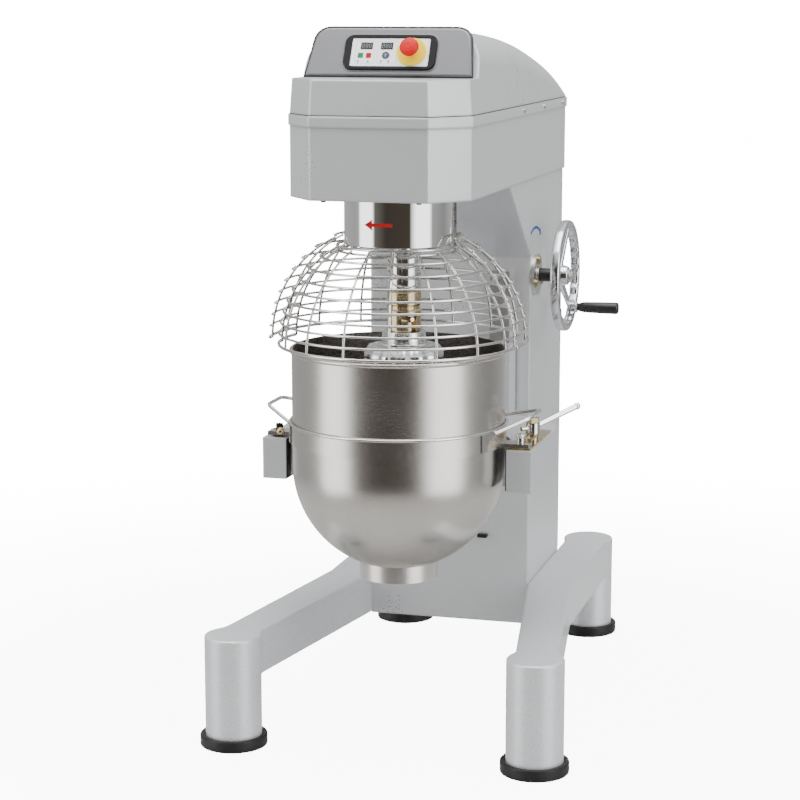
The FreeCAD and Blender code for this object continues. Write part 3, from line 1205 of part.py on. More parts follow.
os.makedirs("parts", exist_ok=True)
for name, make in NODES.items():
    shape = make()
    shape.exportStep(f"parts/{name}.step")
    print(f"{name}: {len(shape.Solids)} solids, {shape.Volume / 1000:.1f} cm3, valid {shape.isValid()}")
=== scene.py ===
"""A floor-standing planetary mixer: silver stand, column and head, steel bowl, wire guard and whisk."""
import math

import bmesh
import bpy
from mathutils import Matrix, Vector


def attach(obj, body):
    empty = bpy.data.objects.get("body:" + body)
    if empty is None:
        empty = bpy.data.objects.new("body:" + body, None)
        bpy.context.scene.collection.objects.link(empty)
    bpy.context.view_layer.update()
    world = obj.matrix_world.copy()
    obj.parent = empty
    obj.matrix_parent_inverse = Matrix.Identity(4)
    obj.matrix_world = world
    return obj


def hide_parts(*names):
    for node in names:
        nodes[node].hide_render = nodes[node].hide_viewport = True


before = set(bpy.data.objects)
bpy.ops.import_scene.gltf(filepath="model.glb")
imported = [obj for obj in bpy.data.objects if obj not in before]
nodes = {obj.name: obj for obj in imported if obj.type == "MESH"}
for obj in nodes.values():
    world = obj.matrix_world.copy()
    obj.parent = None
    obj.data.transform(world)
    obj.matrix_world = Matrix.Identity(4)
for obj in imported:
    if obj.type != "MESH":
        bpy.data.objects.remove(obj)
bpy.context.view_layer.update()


# ---- Stand ------------------------------------------------------------------------------------------------
# Two box beams of folded sheet are welded to four thick tube legs and ground flush, and the whole stand is
# sprayed with a silver paint whose coarse flakes show as a fine speckle.

class Link:
    """One output of a node. Arithmetic on it adds Math nodes to the same tree."""

    def __init__(self, socket):
        self.socket = socket

    def math(self, operation, *values):
        return Graph(self.socket.id_data).node("ShaderNodeMath", {"operation": operation},
                                               dict(enumerate(values)))

    def __add__(self, other):
        return self.math("ADD", self, other)

    def __sub__(self, other):
        return self.math("SUBTRACT", self, other)

    def __rsub__(self, other):
        return self.math("SUBTRACT", other, self)

    def __mul__(self, other):
        return self.math("MULTIPLY", self, other)

    def __truediv__(self, other):
        return self.math("DIVIDE", self, other)

    def __pow__(self, other):
        return self.math("POWER", self, other)

    __radd__ = __add__
    __rmul__ = __mul__


class Graph:
    """A material's or a geometry's node tree."""

    def __init__(self, tree):
        self.tree = tree

    def node(self, kind, settings=None, values=None, out=0):
        """Adds a node: its settings first, then a value or a link for each socket it names."""
        made = self.tree.nodes.new(kind)
        for name, setting in (settings or {}).items():
            if name == "stops":
                for stop, (place, colour) in zip(stretched_ramp(made, len(setting)), setting):
                    stop.position = place
                    stop.color = colour
            else:
                setattr(made, name, setting)
        for key, value in (values or {}).items():
            if isinstance(value, Link):
                self.tree.links.new(value.socket, made.inputs[key])
            else:
                made.inputs[key].default_value = value
        return Link(made.outputs[out])


def stretched_ramp(made, count):
    """The stops of a colour ramp, once it has as many as are wanted."""
    stops = made.color_ramp.elements
    while len(stops) < count:
        stops.new(1.0)
    return stops


def bare_finish(name, metallic, **constants):
    """A new material, with its graph and shader, and the piece's own coordinates."""
    material = bpy.data.materials.new(name)
    material.use_nodes = True
    graph = Graph(material.node_tree)
    shader = material.node_tree.nodes["Principled BSDF"]
    shader.inputs["Metallic"].default_value = metallic
    for socket, value in constants.items():
        shader.inputs[socket.replace("_", " ")].default_value = value
    return material, graph, shader, graph.node("ShaderNodeTexCoord", {}, {}, "Object")


def noise(graph, place, scale, detail=2.0, stretch=None):
    """Soft noise between 0 and 1. A stretch of (x, y, z) draws it out along the small ones."""
    if stretch:
        place = graph.node("ShaderNodeVectorMath", {"operation": "MULTIPLY"}, {0: place, 1: stretch})
    return graph.node("ShaderNodeTexNoise", {}, {"Vector": place, "Scale": scale, "Detail": detail})


def dress(graph, shader, tone, dark, light, rough, height=None, depth=0.0002, edge=0.0):
    """Gives a shader its colour between dark and light, its roughness, its relief and its softened edges."""
    colour = graph.node("ShaderNodeMix", {"data_type": "RGBA"},
                        {"Factor": tone, 6: (*dark, 1), 7: (*light, 1)}, 2)
    graph.tree.links.new(colour.socket, shader.inputs["Base Color"])
    graph.tree.links.new(rough.socket, shader.inputs["Roughness"])
    if height is None:
        return
    relief = {"Height": height, "Strength": 1.0, "Distance": depth}
    if edge:
        relief["Normal"] = graph.node("ShaderNodeBevel", {"samples": 4}, {"Radius": edge})
    bump = graph.node("ShaderNodeBump", {}, relief)
    graph.tree.links.new(bump.socket, shader.inputs["Normal"])


def silver_paint(name, light, speckle, rough, edge=0.003):
    """Metallic paint: cloudy from the spray gun, with flakes that glint, over a faint orange peel."""
    material, graph, shader, place = bare_finish(name, 0.4, Coat_Weight=0.35, Coat_Roughness=0.10)
    cloud = noise(graph, place, 3.0, 3.0)
    flakes = graph.node("ShaderNodeTexVoronoi", {}, {"Vector": place, "Scale": 420.0}, "Color")
    glint = graph.node("ShaderNodeSeparateColor", {}, {"Color": flakes})
    peel = noise(graph, place, 260.0, 1.0)
    tone = cloud * 0.5 + 0.25 + (glint - 0.5) * speckle
    dark = tuple(0.86 * part for part in light)
    dress(graph, shader, tone, dark, light, rough + (cloud - 0.5) * 0.06 + (glint - 0.5) * 0.02,
          peel, 0.00001, edge)
    return material


def paint_node(material, *names):
    for name in names:
        nodes[name].data.materials.clear()
        nodes[name].data.materials.append(material)


stand_silver = silver_paint("stand_silver", (0.70, 0.72, 0.74), 1.0, 0.40, 0.0)
paint_node(stand_silver, "side_beams", "leg_posts", "base_cross_member")


# ---- Feet -------------------------------------------------------------------------------------------------
# A black rubber cup is moulded round the bottom of each leg, over a steel levelling stud. The mould leaves a
# soft grain, and the lower edge scuffs grey on the floor.

def piece(name, verts, faces, material, body, slot, stands_for=(), crease=40):
    """A finished mesh piece that rides on a body and may stand for CAD nodes."""
    mesh = bpy.data.meshes.new(name)
    mesh.from_pydata(verts, [], faces)
    form = bmesh.new()
    form.from_mesh(mesh)
    bmesh.ops.remove_doubles(form, verts=form.verts, dist=1e-6)
    bmesh.ops.recalc_face_normals(form, faces=form.faces)
    form.to_mesh(mesh)
    form.free()
    mesh.shade_smooth()
    mesh.set_sharp_from_angle(angle=math.radians(crease))
    mesh.materials.append(material)
    thing = bpy.data.objects.new(name, mesh)
    bpy.context.scene.collection.objects.link(thing)
    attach(thing, body)
    if stands_for:
        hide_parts(*stands_for)
    return thing


def several(shapes):
    """Joins (verts, faces) shapes into one."""
    verts, faces = [], []
    for more, rings in shapes:
        faces += [[i + len(verts) for i in ring] for ring in rings]
        verts += more
    return verts, faces


def softened(points, radius, steps=5, closed=True):
    """A polyline of 2D points with its corners rounded."""
    soft = []
    count = len(points)
    for i, (x, y) in enumerate(points):
        if not closed and i in (0, count - 1):
            soft.append((x, y))
            continue
        here = Vector((x, y))
        back, ahead = Vector(points[i - 1]) - here, Vector(points[(i + 1) % count]) - here
        turn = math.pi - back.angle(ahead)
        reach = min(radius * math.tan(turn / 2), 0.45 * back.length, 0.45 * ahead.length)
        if reach < 1e-6:
            soft.append((x, y))
            continue
        start, end = here + back.normalized() * reach, here + ahead.normalized() * reach
        for k in range(steps + 1):
            t = k / steps
            soft.append(tuple(start * (1 - t) ** 2 + here * 2 * t * (1 - t) + end * t ** 2))
    return soft


def banded(rows, count, closed=False):
    """Faces that join rows of count points each to the next row, and the last to the first if closed."""
    faces = []
    for i in range(rows if closed else rows - 1):
        low, high = i * count, (i + 1) % rows * count
        faces += [[low + k, low + (k + 1) % count, high + (k + 1) % count, high + k] for k in range(count)]
    return faces


def spun(profile, place, steps=96, closed=False):
    """A profile of (radius, height) points turned about the axis that place gives."""
    rows = [[place @ Vector((r * math.cos(2 * math.pi * k / steps), r * math.sin(2 * math.pi * k / steps), z))
             for k in range(steps)] for r, z in profile]
    return [tuple(v) for row in rows for v in row], banded(len(rows), steps, closed)


rubber, graph, shader, place = bare_finish("black_rubber", 0.0, Specular_IOR_Level=0.35)
grain = noise(graph, place, 700.0, 3.0)
scuff = noise(graph, place, 30.0, 4.0)
dress(graph, shader, scuff ** 3.0, (0.004, 0.004, 0.0045), (0.03, 0.03, 0.03), 0.36 + grain * 0.2, grain,
      0.0001)

foot_radius = 0.0715
foot_height = 0.026
cup_radius, cup_floor = 0.0605, 0.0122
foot_profile = softened([(0, 0), (foot_radius, 0), (foot_radius, foot_height), (cup_radius, foot_height),
                         (cup_radius, cup_floor), (0, cup_floor)], 0.0045, closed=False)
leg_places = [(0.326, -0.501), (-0.326, -0.501), (0.236, 0.548), (-0.236, 0.548)]
feet = several([spun(foot_profile, Matrix.Translation((x, y, 0))) for x, y in leg_places])
piece("moulded_feet", *feet, rubber, "frame", "black_rubber", ["rubber_feet"])

bare_zinc, graph, shader, place = bare_finish("zinc_plate", 1.0)
dull = noise(graph, place, 90.0, 3.0)
dress(graph, shader, dull, (0.42, 0.41, 0.38), (0.66, 0.65, 0.62), 0.22 + dull * 0.2, dull, 0.00004, 0.0006)
paint_node(bare_zinc, "levelling_screws", "cover_screws", "handwheel_flange", "handwheel_bolts")


# ---- Column -----------------------------------------------------------------------------------------------
# The column is folded from 5 mm sheet, with a sloped neck welded on in front to carry the head. It has the
# same silver as the head, smoother than the stand's. The slideways on its front are ground and oiled.

body_silver = silver_paint("body_silver", (0.70, 0.72, 0.735), 0.2, 0.29, 0.007)
paint_node(body_silver, "column_shell", "column_rear_cover", "head_housing", "head_cover")

ground_steel, graph, shader, place = bare_finish("ground_steel", 1.0)
lay = noise(graph, place, 60.0, 4.0, (1.0, 1.0, 14.0))
smear = noise(graph, place, 8.0, 2.0)
dress(graph, shader, smear, (0.34, 0.34, 0.35), (0.58, 0.58, 0.59), 0.2 + lay * 0.25, lay, 0.00004, 0.0008)
paint_node(ground_steel, "slideways", "gib_plates", "screw_bearings", "lift_screw", "bevel_wheel",
           "bevel_pinion", "handwheel_shaft", "ring_gear", "main_bearings", "shaft_bearings", "main_shaft",
           "planet_pinion")


def capped(count):
    """Faces of a solid between two outlines of count points each."""
    return [list(range(count))[::-1], list(range(count, 2 * count))] + banded(2, count)


def extruded(outline, low, high, place):
    """A closed outline of 2D points as a solid from low to high, in the axes that place gives."""
    count = len(outline)
    verts = [tuple(place @ Vector((x, y, h))) for h in (low, high) for x, y in outline]
    return verts, capped(count)


def rounded_edges(thing, width, segments=3):
    bevel = thing.modifiers.new("edges", "BEVEL")
    bevel.width = width
    bevel.segments = segments
    bevel.limit_method = "ANGLE"
    bevel.angle_limit = math.radians(50)
    return thing


def rectangle(x0, x1, y0, y1):
    return [(x0, y0), (x1, y0), (x1, y1), (x0, y1)]


on_front = Matrix(((1, 0, 0, 0), (0, 0, -1, 0.0655), (0, 1, 0, 0), (0, 0, 0, 1)))
stop_outline = softened(rectangle(0.069, 0.092, 0.344, 0.352), 0.003)
rounded_edges(piece("lower_stop_rubber", *extruded(stop_outline, -0.001, 0.012, on_front), rubber, "frame",
                    "black_rubber"), 0.001)

# The way the hand wheel turns is printed on the column's side in blue.
blue_ink, graph, shader, place = bare_finish("blue_ink", 0.0, Specular_IOR_Level=0.3)
worn = noise(graph, place, 400.0, 2.0)
dress(graph, shader, worn, (0.02, 0.05, 0.28), (0.05, 0.09, 0.40), 0.45 + worn * 0.15)


def arc_arrow(radius, start, end, width, head, steps=24):
    """A curved arrow from start to end, in degrees, as the two halves of its outline."""
    outer, inner = [], []
    for k in range(steps + 1):
        a = math.radians(start + (end - start) * k / steps)
        outer.append(((radius + width / 2) * math.cos(a), (radius + width / 2) * math.sin(a)))
        inner.append(((radius - width / 2) * math.cos(a), (radius - width / 2) * math.sin(a)))
    a = math.radians(end)
    tip = math.radians(end + math.copysign(math.degrees(head / radius), end - start))
    wide = width * 1.5
    point = [((radius + wide) * math.cos(a), (radius + wide) * math.sin(a)),
             (radius * math.cos(tip), radius * math.sin(tip)),
             ((radius - wide) * math.cos(a), (radius - wide) * math.sin(a))]
    return outer + point + inner[::-1]


wheel_y, wheel_z = 0.1075, 0.948
on_side = Matrix(((0, 0, 1, 0.186), (1, 0, 0, wheel_y), (0, 1, 0, wheel_z), (0, 0, 0, 1)))
piece("turning_mark", *extruded(arc_arrow(0.106, 115, 62, 0.0065, 0.016), -0.0001, 0.0004, on_side), blue_ink,
      "frame", "foil")


# ---- Head -------------------------------------------------------------------------------------------------
# The cast head housing is closed by a pressed cover with a long rounded back. A thin black gasket shows in
# the seam between them, and two small screws hold the drip edge under the nose.

def swept(path, radius, closed=False, steps=12):
    """Round bar along a list of points."""
    count = len(path)
    points = [Vector(p) for p in path]
    verts = []
    side = None
    for i, here in enumerate(points):
        before = points[i - 1] if i or closed else here
        after = points[(i + 1) % count] if i < count - 1 or closed else here
        along = (after - before).normalized()
        if side is None:
            side = along.orthogonal().normalized()
        side = (side - along * side.dot(along)).normalized()
        up = along.cross(side)
        verts += [tuple(here + (side * math.cos(2 * math.pi * k / steps)
                                + up * math.sin(2 * math.pi * k / steps)) * radius) for k in range(steps)]
    faces = banded(count, steps, closed)
    if not closed:
        faces += [list(range(steps))[::-1], list(range((count - 1) * steps, count * steps))]
    return verts, faces


seam_height = 1.332
head_right = [(0.121, -0.5895), (0.188, -0.5055), (0.189, -0.1565), (0.189, 0.4215)]
head_plan = head_right + [(-x, y) for x, y in reversed(head_right)]
gasket = swept([(x, y, seam_height) for x, y in head_plan], 0.0016, closed=True, steps=8)
piece("seam_gasket", *gasket, rubber, "frame", "black_rubber")

screw_profile = softened([(0, 0.004), (0.005, 0.004), (0.006, 0.0), (0, 0.0)], 0.001, closed=False)
nose_screw_y, nose_underside = -0.57, 1.166
nose_screws = []
for x in (-0.098, 0.098):
    hanging = Matrix.Translation((x, nose_screw_y, nose_underside)) @ Matrix.Rotation(math.pi, 4, "X")
    nose_screws.append(spun(screw_profile, hanging, 24))
piece("nose_screws", *several(nose_screws), rubber, "frame", "black_rubber")


# ---- Control pod ------------------------------------------------------------------------------------------
# The pod is a separate casting bolted to the cover, leaning back, and sprayed a darker metallic grey. Its rim
# is rounded over. A black bar under its lower edge is painted shadow along the joint, and a dark grey bar
# round its rim is a painted dark reflection on the rounded edge.

tilt = math.radians(28)
pod_face = Matrix(((1, 0, 0, 0), (0, math.sin(tilt), -math.cos(tilt), -0.4505),
                   (0, math.cos(tilt), math.sin(tilt), 1.408), (0, 0, 0, 1)))
pod_grey = silver_paint("pod_grey", (0.17, 0.172, 0.18), 0.3, 0.33, 0.0)
pod_outline = [(-0.175, -0.002), (0.175, -0.002)] + softened(
    [(0.175, -0.002), (0.160, 0.107), (-0.160, 0.107), (-0.175, -0.002)], 0.036, 10, closed=False)[1:-1]
rounded_edges(piece("pod_casting", *extruded(pod_outline, -0.020, 0.0, pod_face), pod_grey, "frame",
                    "pod_paint", ["control_pod"], 60), 0.0055, 5)
# A black bar along the pod's lower edge is painted shadow where the pod meets the cover.
shadow_bar_corners = ((-0.174, -0.019), (-0.174, 0.0), (0.174, 0.0), (0.174, -0.019))
shadow_bar_path = [tuple(pod_face @ Vector((x, -0.003, h))) for x, h in shadow_bar_corners]
piece("pod_shadow_bar", *swept(shadow_bar_path, 0.0024, steps=8), rubber, "frame", "black_rubber")
# A dark grey bar round the pod's rim is a painted dark reflection on its rounded edge, mottled at random.
rim_path = [tuple(pod_face @ Vector((x, s, -0.0035))) for x, s in pod_outline]
rim_reflection_grey, graph, shader, place = bare_finish("rim_reflection_grey", 0.6)
rim_reflection_mottle = noise(graph, place, 80.0, 3.0)
dress(graph, shader, rim_reflection_mottle, (0.035, 0.036, 0.04), (0.07, 0.07, 0.075), 0.34 + rim_reflection_mottle * 0.1)
piece("pod_rim_dark_reflection", *swept(rim_path, 0.0030, closed=True, steps=10), rim_reflection_grey, "frame", "pod_paint")
bezel_seat = softened(rectangle(-0.0975, 0.0975, 0.0085, 0.0895), 0.022, 6)
seat_path = [tuple(pod_face @ Vector((x, s, 0.0))) for x, s in bezel_seat]
piece("bezel_seat", *swept(seat_path, 0.0016, closed=True, steps=10), pod_grey, "frame", "pod_paint")


# ---- Control panel ----------------------------------------------------------------------------------------
# A black moulded bezel frames a white printed foil with two display windows, a start and a stop key, a mode
# key and the emergency stop. The printing is plain arrows and outlines with no lettering.

spark_grain = 900.0


def moulded(name, dark, light, gloss, depth=0.00005, **constants):
    """Moulded plastic: nearly one colour, with a fine spark-eroded grain."""
    material, graph, shader, place = bare_finish(name, 0.0, **constants)
    grain = noise(graph, place, spark_grain, 3.0)
    dress(graph, shader, grain, dark, light, gloss + grain * 0.12, grain, depth)
    return material


bezel_black = moulded("bezel_black", (0.003, 0.003, 0.003), (0.008, 0.008, 0.008), 0.45,
                      Specular_IOR_Level=0.2)
bezel_outline = softened(rectangle(-0.095, 0.095, 0.011, 0.087), 0.020, 6)
window_outline = softened(rectangle(-0.081, 0.081, 0.018, 0.080), 0.004, 6)


def framed(outer, inner, low, high, place):
    """A flat frame between two outlines that have the same number of points."""
    count = len(outer)
    verts = [tuple(place @ Vector((x, y, h)))
             for ring in (outer, inner) for h in (low, high) for x, y in ring]
    faces = []
    for i in range(count):
        j = (i + 1) % count
        for a, b in ((0, 1), (1, 3), (3, 2), (2, 0)):
            faces.append([a * count + i, a * count + j, b * count + j, b * count + i])
    return verts, faces


rounded_edges(piece("panel_bezel", *framed(bezel_outline, window_outline, -0.0005, 0.005, pod_face),
                    bezel_black, "frame", "black_plastic", ["control_panel"]), 0.0012)

foil_white = moulded("foil_white", (0.90, 0.905, 0.91), (0.93, 0.935, 0.94), 0.3, 0.00002)
display_glass = moulded("display_glass", (0.008, 0.009, 0.010), (0.02, 0.022, 0.024), 0.2, 0.00001,
                        Specular_IOR_Level=0.25)
paint_node(foil_white, "panel_membrane")
paint_node(display_glass, "panel_displays")

key_green = moulded("key_green", (0.0, 0.16, 0.045), (0.0, 0.20, 0.06), 0.4, Specular_IOR_Level=0.2)
key_red = moulded("key_red", (0.36, 0.0, 0.005), (0.42, 0.0, 0.008), 0.4, Specular_IOR_Level=0.2)
paint_node(key_green, "start_key")
paint_node(key_red, "stop_key")
paint_node(moulded("mode_dark", (0.02, 0.025, 0.035), (0.05, 0.055, 0.07), 0.3), "mode_key")

# Unlit seven-bar digits show grey in each display window.
digit_grey = moulded("digit_grey", (0.16, 0.17, 0.17), (0.24, 0.25, 0.25), 0.3)
bars = []
for window in (-0.050, -0.008):
    for digit in (-0.0072, 0.0, 0.0072):
        for dx, ds, wide, tall in ((0, 0.0044, 0.0034, 0.0009), (0, 0, 0.0034, 0.0009),
                                   (0, -0.0044, 0.0034, 0.0009), (-0.0021, 0.0022, 0.0009, 0.0034),
                                   (0.0021, 0.0022, 0.0009, 0.0034), (-0.0021, -0.0022, 0.0009, 0.0034),
                                   (0.0021, -0.0022, 0.0009, 0.0034)):
            x, s = window + digit + dx, 0.063 + ds
            bars.append(extruded(rectangle(x - wide / 2, x + wide / 2, s - tall / 2, s + tall / 2), 0.0037,
                                 0.0039, pod_face))
piece("display_digits", *several(bars), digit_grey, "frame", "display")


def straight_arrow(x, s, length, width, up):
    """Outline of a small printed arrow, pointing up or down the panel."""
    half, sign = length / 2, 1 if up else -1
    points = [(-width / 3, -half), (width / 3, -half), (width / 3, 0), (width, 0), (0, half), (-width, 0),
              (-width / 3, 0)]
    points = [(x + px, s + sign * py) for px, py in points]
    return points if up else points[::-1]


marks = [extruded(straight_arrow(x, 0.0285, 0.007, 0.0036, up), 0.0029, 0.0031, pod_face)
         for x, up in ((-0.065, True), (-0.044, False), (-0.017, True), (-0.001, False))]
marks.append(extruded(straight_arrow(-0.0085, 0.0423, 0.008, 0.0036, True), 0.00435, 0.0046, pod_face))
print_blue = moulded("print_blue", (0.10, 0.22, 0.50), (0.14, 0.28, 0.58), 0.4)
piece("printed_arrows", *several(marks), print_blue, "frame", "foil")


def spread_along(name, spacing, length):
    """Geometry tree: short flat dashes laid end to end along the edges of the mesh it is given."""
    tree = bpy.data.node_groups.new(name, "GeometryNodeTree")
    tree.interface.new_socket("Geometry", in_out="OUTPUT", socket_type="NodeSocketGeometry")
    tree.interface.new_socket("Geometry", in_out="INPUT", socket_type="NodeSocketGeometry")
    for label, value in (("Spacing", spacing), ("Dash", length)):
        tree.interface.new_socket(label, in_out="INPUT", socket_type="NodeSocketFloat").default_value = value
    given = tree.nodes.new("NodeGroupInput")
    graph = Graph(tree)
    line = graph.node("GeometryNodeMeshToCurve", {}, {"Mesh": Link(given.outputs["Geometry"])})
    points = graph.node("GeometryNodeCurveToPoints", {"mode": "LENGTH"},
                        {"Curve": line, "Length": Link(given.outputs["Spacing"])})
    turn = Link(points.socket.node.outputs["Rotation"])
    dash = graph.node("ShaderNodeCombineXYZ", {}, {"X": 0.0006, "Y": 0.0002,
                                                   "Z": Link(given.outputs["Dash"])})
    bar = graph.node("GeometryNodeMeshCube", {}, {"Size": dash})
    laid = graph.node("GeometryNodeInstanceOnPoints", {},
                      {"Points": points, "Instance": bar, "Rotation": turn})
    whole = graph.node("GeometryNodeRealizeInstances", {}, {"Geometry": laid})
    return tree, graph, whole


def grown(host, tree, sizes, material, body):
    """Runs a geometry tree on a host object and keeps the result as its plain mesh."""
    bpy.context.scene.collection.objects.link(host)
    modifier = host.modifiers.new("grow", "NODES")
    modifier.node_group = tree
    for item in tree.interface.items_tree:
        if item.in_out == "INPUT" and item.name in sizes:
            modifier[item.identifier] = sizes[item.name]
    solid = bpy.data.meshes.new_from_object(host.evaluated_get(bpy.context.evaluated_depsgraph_get()))
    host.modifiers.clear()
    host.data = solid
    if not solid.materials:
        solid.materials.append(material)
    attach(host, body)


def finished_tree(tree, graph, whole, material):
    painted = graph.node("GeometryNodeSetMaterial", {}, {"Geometry": whole, "Material": material})
    out = tree.nodes.new("NodeGroupOutput")
    tree.links.new(painted.socket, out.inputs[0])
    return tree


outline_mesh = bpy.data.meshes.new("outline_dashes")
outline_verts, outline_edges = [], []
for x0, x1, s0, s1 in ((-0.072, -0.032, 0.024, 0.074), (-0.0265, 0.014, 0.024, 0.074)):
    ring = softened(rectangle(x0, x1, s0, s1), 0.004, 4)
    first = len(outline_verts)
    outline_verts += [tuple(pod_face @ Vector((x, s, 0.0031))) for x, s in ring]
    outline_edges += [(first + i, first + (i + 1) % len(ring)) for i in range(len(ring))]
outline_mesh.from_pydata(outline_verts, outline_edges, [])
dash_spacing, dash_length = 0.004, 0.0024
dash_tree = finished_tree(*spread_along("dashes", dash_spacing, dash_length), digit_grey)
grown(bpy.data.objects.new("outline_dashes", outline_mesh), dash_tree,
      {"Spacing": dash_spacing, "Dash": dash_length}, digit_grey, "frame")


# ---- Emergency stop ---------------------------------------------------------------------------------------
# A red mushroom button stands on a round yellow plate. It is glossy moulded plastic with a shallow dish in
# its face, and it latches when it is pushed.

stop_centre = pod_face @ Matrix.Translation((0.045, 0.0495, 0))
yellow = moulded("stop_yellow", (0.88, 0.62, 0.0), (0.92, 0.67, 0.0), 0.5, Specular_IOR_Level=0.15)
ring_profile = softened(rectangle(0.0084, 0.030, 0.003, 0.0068), 0.001, 3)
piece("stop_plate", *spun(ring_profile, stop_centre, 64, closed=True), yellow, "frame", "yellow_plastic",
      ["estop_ring"])
stop_red = moulded("stop_red", (0.50, 0.001, 0.001), (0.56, 0.003, 0.002), 0.34, Specular_IOR_Level=0.22)
button_profile = softened([(0, 0.0055), (0.008, 0.0055), (0.008, 0.0195), (0.0165, 0.0205), (0.0195, 0.0245),
                           (0.0192, 0.0300), (0.0150, 0.0345), (0.0060, 0.0358), (0, 0.0355)], 0.004, 6,
                          closed=False)
piece("stop_mushroom", *spun(button_profile, stop_centre, 64), stop_red, "estop", "red_plastic",
      ["estop_button"], 60)


# ---- Planetary drum ---------------------------------------------------------------------------------------
# The drum that turns under the head is mirror-polished steel. A red arrow printed on it shows which way it
# turns.

def polished(name, dark, light, rough, streak=(1.0, 1.0, 1.0)):
    """Bright metal with faint wipe marks and a slightly uneven polish."""
    material, graph, shader, place = bare_finish(name, 1.0)
    wipe = noise(graph, place, 14.0, 3.0, streak)
    fine = noise(graph, place, 500.0, 2.0, streak)
    dress(graph, shader, wipe, dark, light, rough + wipe * rough * 0.8, fine, 0.000006)
    return material


mirror_steel = polished("mirror_steel", (0.80, 0.80, 0.79), (0.90, 0.90, 0.90), 0.02)
paint_node(mirror_steel, "planet_drum")
bowl_x, bowl_y = 0.0, -0.369
red_ink = moulded("red_ink", (0.56, 0.004, 0.006), (0.64, 0.008, 0.01), 0.5, Specular_IOR_Level=0.2)


def wrapped(outline, radius, height, thickness=0.0005):
    """A flat outline of (arc length, height) points wrapped round the drum's front."""
    verts = []
    for r in (radius - thickness, radius + thickness):
        for along, up in outline:
            angle = along / radius - math.pi / 2
            verts.append((bowl_x + r * math.cos(angle), bowl_y + r * math.sin(angle), height + up))
    return verts, capped(len(outline))


shaft_runs = [(0.018 - 0.043 * k / 6, 0.0035) for k in range(7)]
arrow_head = [(-0.025, 0.011), (-0.034, 0.005), (-0.043, 0.0), (-0.034, -0.005), (-0.025, -0.011)]
shaft_back = [(x, -y) for x, y in reversed(shaft_runs[1:])]
arrow_outline = [(0.018, -0.0035)] + shaft_runs + arrow_head + shaft_back
drum_radius, arrow_height = 0.112, 1.110
piece("drum_arrow", *wrapped(arrow_outline, drum_radius, arrow_height), red_ink, "planetary", "red_plastic")


# ---- Agitator ---------------------------------------------------------------------------------------------
# The chromed agitator shaft carries a turned bronze bayonet sleeve. A cross pin in its slot locks the whisk,
# whose hub is cast aluminium, polished, with steel wire loops pressed into it.

chrome = polished("bright_chrome", (0.72, 0.72, 0.71), (0.86, 0.86, 0.86), 0.05)
wire_chrome = polished("wire_chrome", (0.60, 0.59, 0.57), (0.80, 0.79, 0.77), 0.12)
paint_node(chrome, "agitator_shaft")
bronze, graph, shader, place = bare_finish("turned_bronze", 1.0)
turning = noise(graph, place, 40.0, 3.0, (1.0, 1.0, 30.0))
stain = noise(graph, place, 22.0, 2.0)
dress(graph, shader, stain, (0.46, 0.36, 0.20), (0.66, 0.56, 0.36), 0.12 + turning * 0.10, turning, 0.000008,
      0.0008)
paint_node(bronze, "bayonet_sleeve", "lift_nut")

tool_x, tool_y = 0.03043, -0.43425
tool_axis = Matrix.Translation((tool_x, tool_y, 0))
hub_profile = softened([(0.030, 0.8380), (0.0855, 0.8380), (0.0830, 0.8490), (0.0740, 0.8620),
                        (0.0660, 0.8640), (0.0500, 0.8645), (0.0455, 0.8680), (0.0440, 0.8925),
                        (0.030, 0.8925)], 0.0025, 4)
cast_polish = polished("polished_casting", (0.62, 0.63, 0.64), (0.80, 0.81, 0.82), 0.09)


def fluted(profile, place, flutes, depth, above, steps=192):
    """A closed profile turned about an axis, with shallow flutes in the part wider than a radius."""
    verts, faces = spun(profile, Matrix(), steps, closed=True)
    for i, (x, y, z) in enumerate(verts):
        r = math.hypot(x, y)
        if r > above:
            cut = 1 - depth / r * (0.5 - 0.5 * math.cos(flutes * math.atan2(y, x)))
            verts[i] = (x * cut, y * cut, z)
    return [tuple(place @ Vector(v)) for v in verts], faces


piece("whisk_boss", *fluted(hub_profile, tool_axis, 14, 0.003, 0.070), cast_polish, "agitator", "alu",
      ["whisk_hub"])
paint_node(wire_chrome, "whisk_wires")
pin_profile = softened(rectangle(0, 0.005, -0.041, 0.041), 0.0015, 3, closed=False)
pin_turn = Matrix.Rotation(math.radians(-50), 4, "Z") @ Matrix.Rotation(math.pi / 2, 4, "Y")
piece("tool_pin", *spun(pin_profile, Matrix.Translation((tool_x, tool_y, 0.919)) @ pin_turn, 24), chrome,
      "agitator", "polished_steel")


# ---- Wire guard -------------------------------------------------------------------------------------------
# Front and rear halves are welded from bright steel wire. Each crossing has a small resistance weld, and the
# lowest hoop of each half is thicker, with rounded ends.

paint_node(wire_chrome, "front_guard", "rear_guard")


